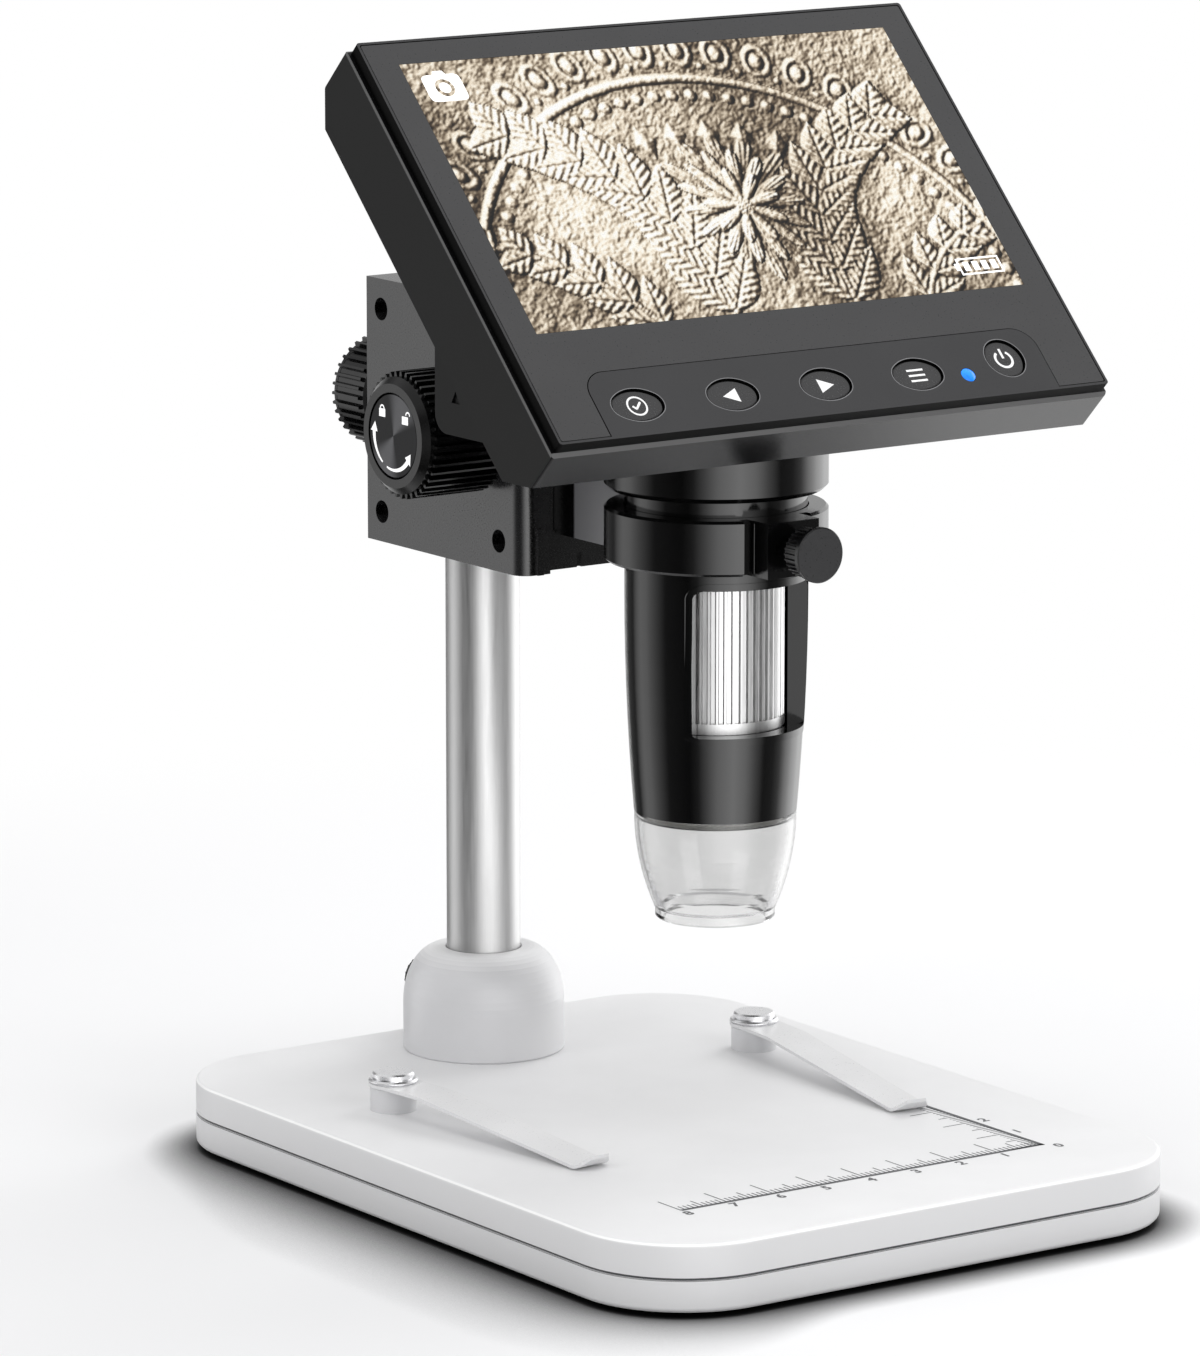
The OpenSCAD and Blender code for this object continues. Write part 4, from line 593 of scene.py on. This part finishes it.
def digitOutlines(text, height, bold):
    # outlines of numerals from Blender's own font, made a mesh, centred on the origin
    curve = bpy.data.curves.new("numeral", "FONT")
    curve.body, curve.size, curve.align_x, curve.align_y = text, height, "CENTER", "CENTER"
    curve.resolution_u, curve.offset = 3, bold
    numeral = bpy.data.objects.new("numeral", curve)
    bpy.context.scene.collection.objects.link(numeral)
    bpy.context.view_layer.update()
    mesh = bpy.data.meshes.new_from_object(numeral.evaluated_get(bpy.context.evaluated_depsgraph_get()))
    points = np.empty(3 * len(mesh.vertices))
    mesh.vertices.foreach_get("co", points)
    faces = [list(face.vertices) for face in mesh.polygons]
    bpy.data.objects.remove(numeral)
    bpy.data.curves.remove(curve)
    bpy.data.meshes.remove(mesh)
    return points.reshape(-1, 3)[:, :2], faces


# the ruler printed on the base, in mm; the height is the base's top and the ink
ruler = {
    "corner": (40.5, -59.0), "longEnd": (-39.5, -59.0), "shortEnd": (40.5, -24.0), "shortDigits": 2,
    "height": 13.3 + 0.02, "line": 0.95, "tick": 0.32, "cmTick": 7.0, "halfTick": 4.2, "mmTick": 2.4,
    "digit": 3.2, "bold": 0.11, "digitGap": 2.3, "zeroShift": 2.2,
}


def makeRuler(setup):
    # two lines from one corner, with a mark square to them at each millimetre and numerals at the centimetres
    shapes = []
    corner = np.array(setup["corner"])
    for end, inward, isLong in ((setup["longEnd"], (0, 1), True), (setup["shortEnd"], (-1, 0), False)):
        end, inward = np.array(end), np.array(inward)
        length = np.linalg.norm(end - corner)
        along = (end - corner) / length
        shapes.append(ribbon([corner - along * setup["line"] / 2, end], setup["line"]))
        for k in range(int(length) + 1):
            reach = setup["cmTick"] if k % 10 == 0 else setup["halfTick"] if k % 5 == 0 else setup["mmTick"]
            foot = corner + along * k
            if k or not isLong:
                shapes.append(ribbon([foot, foot + inward * reach], setup["tick"]))
            if k % 10 == 0 and (isLong or 0 < k <= 10 * setup["shortDigits"]):
                points, faces = digitOutlines(str(k // 10), setup["digit"], setup["bold"])
                centre = foot - inward * setup["digitGap"] - along * (0 if k else setup["zeroShift"])
                shapes.append((points + centre, faces))

    def place(points):
        return np.column_stack([points * mm, np.full(len(points), setup["height"] * mm)])
    flatPiece("rulerPrint", shapes, place, "stand", finishes["greyInk"])


makeRuler(ruler)
print("ruler printed")


# the picture's middle and size, in mm; the face slopes at 45 degrees
screen = {"centre": (0.0, -13.7, 187.5), "width": 106.6, "height": 60.4}


def onScreen(depth):
    # places (u, v) in mm on the sloping face: u runs along X, v up the slope, and depth out of its plane
    def place(points):
        (x, y, z), slope = screen["centre"], math.sqrt(0.5)
        u, v = points[:, 0], points[:, 1]
        return np.column_stack([x + u, y + (v - depth) * slope, z + (v + depth) * slope]) * mm
    return place


# signs on the button caps
keyMarks = {
    "capTop": -0.33, "keyV": -47.1, "powerV": -45.7, "pitch": 20.2,
    "thin": 0.36, "stroke": 0.42, "heavy": 0.5,
}


def makeKeyMarks(setup):
    # a ringed tick, two arrows, three bars, and a broken ring with a stroke
    tick = [ribbon(arcPath(1.9, 0, 360, 40), setup["thin"]),
            ribbon([(-0.95, 0.05), (-0.3, -0.65)], setup["stroke"]),
            ribbon([(-0.36, -0.62), (0.95, 0.75)], setup["stroke"])]
    leftArrow = [([(1.3, -1.5), (1.3, 1.5), (-1.9, 0)], None)]
    rightArrow = [([(1.9, 0), (-1.3, 1.5), (-1.3, -1.5)], None)]
    menu = [ribbon([(-1.8, v), (1.8, v)], setup["stroke"]) for v in (1.15, 0, -1.15)]
    power = [ribbon(arcPath(1.75, 125, 415, 36), setup["heavy"]),
             ribbon([(0, 2.35), (0, 0.2)], setup["heavy"])]
    for name, shapes, column, v, body in (
            ("okMark", tick, -2, setup["keyV"], "ok_key"),
            ("leftMark", leftArrow, -1, setup["keyV"], "left_key"),
            ("rightMark", rightArrow, 0, setup["keyV"], "right_key"),
            ("menuMark", menu, 1, setup["keyV"], "menu_key"),
            ("powerMark", power, 2, setup["powerV"], "power_key")):
        shifted = [(np.asarray(outline) + (column * setup["pitch"], v), faces) for outline, faces in shapes]
        flatPiece(name, shifted, onScreen(setup["capTop"]), body, finishes["whiteInk"])


makeKeyMarks(keyMarks)


# a painted highlight on the edge of each button's hole
keyRims = {
    "width": 10.3, "length": 6.4, "endShare": 0.68,     # the ends' radius as a share of half the length
    "powerDiameter": 7.7, "gap": 0.3, "line": 0.15, "lift": 0.02,
}


def makeKeyRims(setup):
    # an oval of four arcs that meet smoothly, or a circle for the power button, drawn as a thin ribbon
    halfW, halfL, grow = setup["width"] / 2, setup["length"] / 2, setup["gap"] + setup["line"] / 2
    endR = setup["endShare"] * halfL
    sideR = (halfW ** 2 + halfL ** 2 - 2 * halfW * endR) / (2 * (halfL - endR))
    endX, sideV = halfW - endR, sideR - halfL
    meet = math.degrees(math.atan2(sideV, endX))
    oval = np.concatenate([
        arcPath(endR + grow, -meet, meet, 14, (endX, 0)),
        arcPath(sideR + grow, meet, 180 - meet, 30, (0, -sideV))[1:],
        arcPath(endR + grow, 180 - meet, 180 + meet, 14, (-endX, 0))[1:],
        arcPath(sideR + grow, 180 + meet, 360 - meet, 30, (0, sideV))[1:]])
    circle = arcPath(setup["powerDiameter"] / 2 + grow, 0, 360, 60)
    pitch, keyV, powerV = keyMarks["pitch"], keyMarks["keyV"], keyMarks["powerV"]
    shapes = [ribbon(oval + (k * pitch, keyV), setup["line"]) for k in range(-2, 2)]
    shapes.append(ribbon(circle + (2 * pitch, powerV), setup["line"]))
    flatPiece("keyRims", shapes, onScreen(setup["lift"]), "head", finishes["greyEdgeAbs"])


makeKeyRims(keyRims)


# marks on the lock knob's disc: two bent arrows, a shut and an open padlock
discMarks = {
    "axis": (38.2, 136.9), "faceX": -34.77, "radius": 6.3,
    "arrows": ((236, 178), (250, 318)), "arrowWidth": (0.35, 0.95), "headHalf": 1.1, "headTurn": 17,
    "padlocks": ((-3.6, 3.9, 0.0), (3.9, 3.3, 0.25)),   # the middle, and how far an open shackle is lifted
    "lockHalf": (1.0, 0.75), "shackle": 0.62, "shackleLine": 0.3, "swing": 0.9,
}


def makeDiscMarks(setup):
    # flat outlines (a, b) in mm on the disc's face: a runs towards -Y, b up
    def place(points):
        (y, z), x = setup["axis"], np.full(len(points), setup["faceX"])
        return np.column_stack([x, y - points[:, 0], z + points[:, 1]]) * mm

    shapes, r = [], setup["radius"]
    for fromDeg, toDeg in setup["arrows"]:
        # an arc that swells towards its head, and a pointed head
        turn = -1 if toDeg < fromDeg else 1
        base, tip = math.radians(toDeg), math.radians(toDeg + turn * setup["headTurn"])
        head = [((r + out) * math.cos(base), (r + out) * math.sin(base))
                for out in (setup["headHalf"], -setup["headHalf"])]
        head.append((r * math.cos(tip), r * math.sin(tip)))
        shapes += [ribbon(arcPath(r, fromDeg, toDeg), np.linspace(*setup["arrowWidth"], 24)), (head, None)]
    for a, b, lift in setup["padlocks"]:
        # a small body with a shackle over it, swung aside where it is open
        body = np.array([(-1, -1), (1, -1), (1, 1), (-1, 1)]) * setup["lockHalf"] + (a, b)
        top = (a + (setup["swing"] if lift else 0), b + setup["lockHalf"][1] + lift)
        bow = arcPath(setup["shackle"], 0 if lift else -5, 180, 14, top)
        shapes += [(body, None), ribbon(bow, setup["shackleLine"])]
    flatPiece("discMarks", shapes, place, "focus_lock", finishes["brightEnamel"])


makeDiscMarks(discMarks)
print("marks placed")


# the picture on the screen is a bronze relief, worked out as a height field; lengths and heights in mm
relief = {
    # layers of noise: cell, seed, height
    "ground": ((5.5, 3, 0.5), (1.6, 5, 0.4)), "wear": ((0.7, 9, 0.36), (0.4, 17, 0.24)),
    "rosetteAt": (3.0, -7.0), "heart": 3.8,
    # petals: how many, outer reach, inner end, height, share of a turn that they are set round by
    "petals": ((14, 17.0, 6.0, 1.0, 0.0), (14, 13.0, 4.0, 1.9, 0.5), (9, 8.5, 2.0, 2.8, 0.2)),
    # sprays: foot and tip of the stem, its bend, pairs of leaves, a leaf's length and half its width
    "sprays": (((-10, -33), (-42, 14), -11, 9, 15.0, 3.7), ((-24, -34), (-56, -10), -4, 6, 11.0, 2.8),
               ((16, -33), (43, 12), 10, 9, 14.0, 3.5), ((30, -34), (56, -14), 4, 5, 10.0, 2.7)),
    # radii round the rim's centre, and how far apart the forms stand there; studs stand between the ovals
    "rimAt": (-2.0, -36.0), "rim": 58.5, "beads": (54.6, 3.9), "ovals": (65.0, 8.2), "studs": 61.6,
    "lozenges": (45.5, 7.0), "lozengeSpan": 0.62,
}


def valueNoise(u, v, cell, seed):
    # random heights on a square lattice, joined smoothly
    rng = np.random.default_rng(seed)
    table = rng.random((64, 64))
    a, b = u / cell, v / cell
    i, j = np.floor(a).astype(int), np.floor(b).astype(int)
    s, t = a - i, b - j
    s, t = s * s * (3 - 2 * s), t * t * (3 - 2 * t)

    def at(p, q):
        return table[p % 64, q % 64]
    return ((at(i, j) * (1 - s) + at(i + 1, j) * s) * (1 - t)
            + (at(i, j + 1) * (1 - s) + at(i + 1, j + 1) * s) * t)


def dome(distance, radius):
    # height of a half sphere of radius 1, squeezed to this radius, at a distance from its middle
    return np.sqrt(np.clip(1 - (distance / radius) ** 2, 0, 1))


def leafField(u, v, stemFrom, stemTo, bend, pairs, length, width):
    # leaves in pairs along a bent stem: each is a lens with a mid rib and slanted veins, over the last pair
    height = np.zeros_like(u)
    start, end = np.array(stemFrom, float), np.array(stemTo, float)
    across = np.array([-(end - start)[1], (end - start)[0]]) / np.linalg.norm(end - start)

    def stem(t):
        return start + (end - start) * t + across * bend * math.sin(math.pi * t)
    for k in range(pairs):
        t = (k + 0.5) / pairs
        foot, ahead = stem(t), stem(min(t + 0.02, 1.02))
        direction = math.atan2(*(ahead - foot)[::-1])
        size = length * (1.05 - 0.45 * t)
        for side in (-1, 1):
            turn = direction + side * math.radians(38)
            a = (u - foot[0]) * math.cos(turn) + (v - foot[1]) * math.sin(turn)
            b = -(u - foot[0]) * math.sin(turn) + (v - foot[1]) * math.cos(turn)
            half = width * np.sin(math.pi * np.clip(a / size, 0, 1) ** 0.8) + 1e-6
            inside = (a > 0) & (a < size) & (np.abs(b) < half)
            veins = 0.2 * np.sin((a - np.abs(b) * 0.9) * 2 * math.pi / 1.9)
            rib = -0.5 * np.exp(-(b / 0.35) ** 2)
            leaf = np.where(inside, 0.3 + 0.12 * k + 1.3 * dome(b, half) + veins + rib, 0)
            height = np.maximum(height, leaf)
    for t in np.linspace(0, 1, 60):
        p = stem(t)
        height = np.maximum(height, 1.6 * dome(np.hypot(u - p[0], v - p[1]), 0.9))
    return height


def reliefHeight(u, v, setup):
    # the highest of a many-petalled rosette, four leafy sprays, and a rim with beads inside and ovals outside
    height = sum(lift * valueNoise(u, v, cell, seed) for cell, seed, lift in setup["ground"])
    cu, cv = setup["rosetteAt"]
    r, turn = np.hypot(u - cu, v - cv), np.arctan2(v - cv, u - cu)
    for count, reach, inner, lift, offset in setup["petals"]:
        phase = (turn / (2 * math.pi) * count + offset) % 1 - 0.5
        half = 0.48 * np.sqrt(np.clip((reach - r) / (reach - inner), 0, 1)) + 1e-6
        inside = (r < reach) & (np.abs(phase) < half)
        outwards = np.clip((r - inner) / (reach - inner), 0, 1)
        ease = outwards * outwards * (3 - 2 * outwards)
        petal = lift * (0.75 + 0.45 * dome(phase, half)) + 0.22 * np.cos(phase * 2 * math.pi * 6) * ease
        height = np.where(inside, np.maximum(height, petal), height)
    button = 3.6 * dome(r, setup["heart"]) + 0.3 * np.cos(r * 5) * np.cos(turn * 10)
    height = np.where(r < setup["heart"], np.maximum(height, button), height)
    for spray in setup["sprays"]:
        height = np.maximum(height, leafField(u, v, *spray))
    ru, rv = setup["rimAt"]
    rim, around = np.hypot(u - ru, v - rv), np.arctan2(v - rv, u - ru)

    def repeat(radius, spacing, shift=0):
        # place along a circle round the rim's centre, counted from the middle of each form
        return (around * radius + shift) % spacing - spacing / 2
    ring = 1.8 * dome(rim - setup["rim"], 1.1)
    beads = 1.5 * dome(np.hypot(repeat(*setup["beads"]), rim - setup["beads"][0]), 1.3)
    radius, spacing = setup["ovals"]
    ovalAt = np.hypot(repeat(radius, spacing) / 3.2, (rim - radius) / 4.3)
    ovals = 1.9 * dome(ovalAt, 1) - 1.1 * np.exp(-((ovalAt - 0.5) / 0.16) ** 2)
    studs = 1.2 * dome(np.hypot(repeat(radius, spacing, spacing / 2), rim - setup["studs"]), 0.9)
    lozengeAt = np.abs(repeat(*setup["lozenges"]) / 2.7) + np.abs((rim - setup["lozenges"][0]) / 4.0)
    onTop = np.abs(around - math.pi / 2) < setup["lozengeSpan"]
    lozenges = 1.9 * np.clip(1 - lozengeAt, 0, 1) ** 0.6 * onTop
    for layer in (ring, beads, ovals, studs, lozenges):
        height = np.maximum(height, layer)
    for cell, seed, lift in setup["wear"]:
        height = height + lift * valueNoise(u, v, cell, seed)
    return height


picture = {
    "cell": 0.27, "inset": 0.05, "depth": -0.07, "glow": 0.97, "rough": 0.25, "specular": 0.2, "dotMm": 0.22,
    "light": (0.62, -0.55, 0.5), "hollows": 0.28, "crests": 0.05, "clouds": (24, 21, 0.6), "cloudShift": 9,
    # share of the picture that is darker, and the colour there
    "tones": ((0.0, "#000000"), (0.03, "#140c05"), (0.12, "#433526"), (0.27, "#7e6d58"), (0.5, "#c2b29b"),
              (0.72, "#f4e6d0"), (0.88, "#fffbee"), (1.0, "#ffffff")),
}


def makePicture(setup):
    # a flat grid whose colours are a lit height field: light from the upper left, dark hollows, pale crests
    width, height = screen["width"], screen["height"]
    columns, rows = int(width / setup["cell"]) + 1, int(height / setup["cell"]) + 1
    u, v = np.meshgrid(np.linspace(-width / 2 + setup["inset"], width / 2 - setup["inset"], columns),
                       np.linspace(-height / 2 + setup["inset"], height / 2 - setup["inset"], rows))
    field = reliefHeight(u, v, relief)
    slopeV, slopeU = np.gradient(field, setup["cell"])
    lightU, lightV, lightOut = setup["light"]
    lit = (lightU * slopeU + lightV * slopeV + lightOut) / np.sqrt(1 + slopeU ** 2 + slopeV ** 2)
    around = field
    for step in (2, 4, 7):
        around = sum([np.roll(around, k, axis) for axis in (0, 1) for k in (-step, step)], around) / 5
    level = lit + setup["hollows"] * np.clip(field - around, -1, 0.6) + setup["crests"] * field
    (cell, seed, lift), shift = setup["clouds"], setup["cloudShift"]
    level = (level + lift * valueNoise(u + shift, v + shift, cell, seed)).ravel()
    # each point takes the tone of its rank, from the darkest to the palest
    rank = np.empty(level.size)
    rank[np.argsort(level)] = np.linspace(0, 1, level.size)
    shares = [share for share, _ in setup["tones"]]
    tones = np.array([toLinear(tone)[:3] for _, tone in setup["tones"]])
    colours = [np.interp(rank, shares, tones[:, k]) for k in range(3)] + [np.ones(level.size)]
    material, tree, shader, coords = newMaterial("litRelief", {
        "Base Color": (0.01, 0.01, 0.01, 1), "Roughness": setup["rough"],
        "Specular IOR Level": setup["specular"], "Emission Strength": setup["glow"]})
    stored = addNode(tree, "ShaderNodeAttribute", {"attribute_name": "relief"}).outputs["Color"]
    # tiny sparkle of the picture dots over the relief, coarser than real so that it shows
    grain = addNode(tree, "ShaderNodeTexNoise", {"Scale": 1 / (setup["dotMm"] * mm), "Detail": 1.0},
                    {"Vector": coords})
    share = addNode(tree, "ShaderNodeMapRange", noiseSpan, {0: grain.outputs[0]})
    tint = addNode(tree, "ShaderNodeMix", {
        "data_type": "RGBA", 6: (0.86, 0.86, 0.86, 1), 7: (1.1, 1.1, 1.1, 1)}, {0: share.outputs[0]})
    mixed = addNode(tree, "ShaderNodeMix", {"data_type": "RGBA", "blend_type": "MULTIPLY", 0: 1.0},
                    {6: stored, 7: tint.outputs[2]})
    tree.links.new(mixed.outputs[2], shader.inputs["Emission Color"])
    points = onScreen(setup["depth"])(np.column_stack([u.ravel(), v.ravel()]))
    piece = meshPiece("screenPicture", points, gridFaces(rows, columns).tolist(), "head", material)
    attribute = piece.data.color_attributes.new("relief", "FLOAT_COLOR", "POINT")
    attribute.data.foreach_set("color", np.stack(colours, 1).astype(np.float32).ravel())


makePicture(picture)
print("screen picture made")


# signs over the picture: a camera at the upper left, a full battery at the lower right
signs = {
    "depth": -0.04, "cameraAt": (-46.3, 24.3), "cameraScale": 1.12, "cameraHalf": (3.6, 2.7),
    "squareness": 0.3, "lensHole": 1.75, "lensDot": 1.05,
    "batteryAt": (46.0, -25.0), "batteryHalf": (4.6, 1.7), "batteryLine": 0.18,
    "bars": 4, "barPitch": 2.05, "barWidth": 1.3, "barHalf": 1.0,
}


def makeSigns(setup):
    def box(left, low, right, high):
        # four corners, going round from the lower left
        return [(left, low), (right, low), (right, high), (left, high)]

    # camera: a round-cornered body, its cosine and sine raised to a low power, round a hole with a dot
    size = setup["cameraScale"]
    turn = np.radians(np.linspace(0, 360, 49))
    circle = np.stack([np.cos(turn), np.sin(turn)], 1)
    outer = size * np.array(setup["cameraHalf"]) * np.sign(circle) * np.abs(circle) ** setup["squareness"]
    band = np.concatenate([outer, (setup["lensHole"] * size * circle)[::-1]]) + setup["cameraAt"]
    dot = setup["lensDot"] * size * circle[:-1] + setup["cameraAt"]
    hump = size * np.array([(-1.3, 2.6), (1.3, 2.6), (0.9, 3.4), (-0.9, 3.4)]) + setup["cameraAt"]
    shapes = [(band, ribbonFaces(len(band))), (dot, None), (hump, None)]
    # battery: outline, cap and bars
    (u, v), (w, h), half = setup["batteryAt"], setup["batteryHalf"], setup["batteryLine"]
    corners = np.array(box(u - w, v - h, u + w, v + h))
    for a, b in zip(corners, np.roll(corners, -1, axis=0)):
        step = (b - a) / np.linalg.norm(b - a) * half
        shapes.append(ribbon([a - step, b + step], 2 * half))
    shapes.append((box(u - w - 0.9, v - 0.8, u - w - 0.2, v + 0.8), None))
    for k in range(setup["bars"]):
        left = u - w + 1.0 + k * setup["barPitch"]
        shapes.append((box(left, v - setup["barHalf"], left + setup["barWidth"], v + setup["barHalf"]), None))
    flatPiece("screenSigns", shapes, onScreen(setup["depth"]), "head", finishes["whiteSign"])


makeSigns(signs)
print("signs placed")
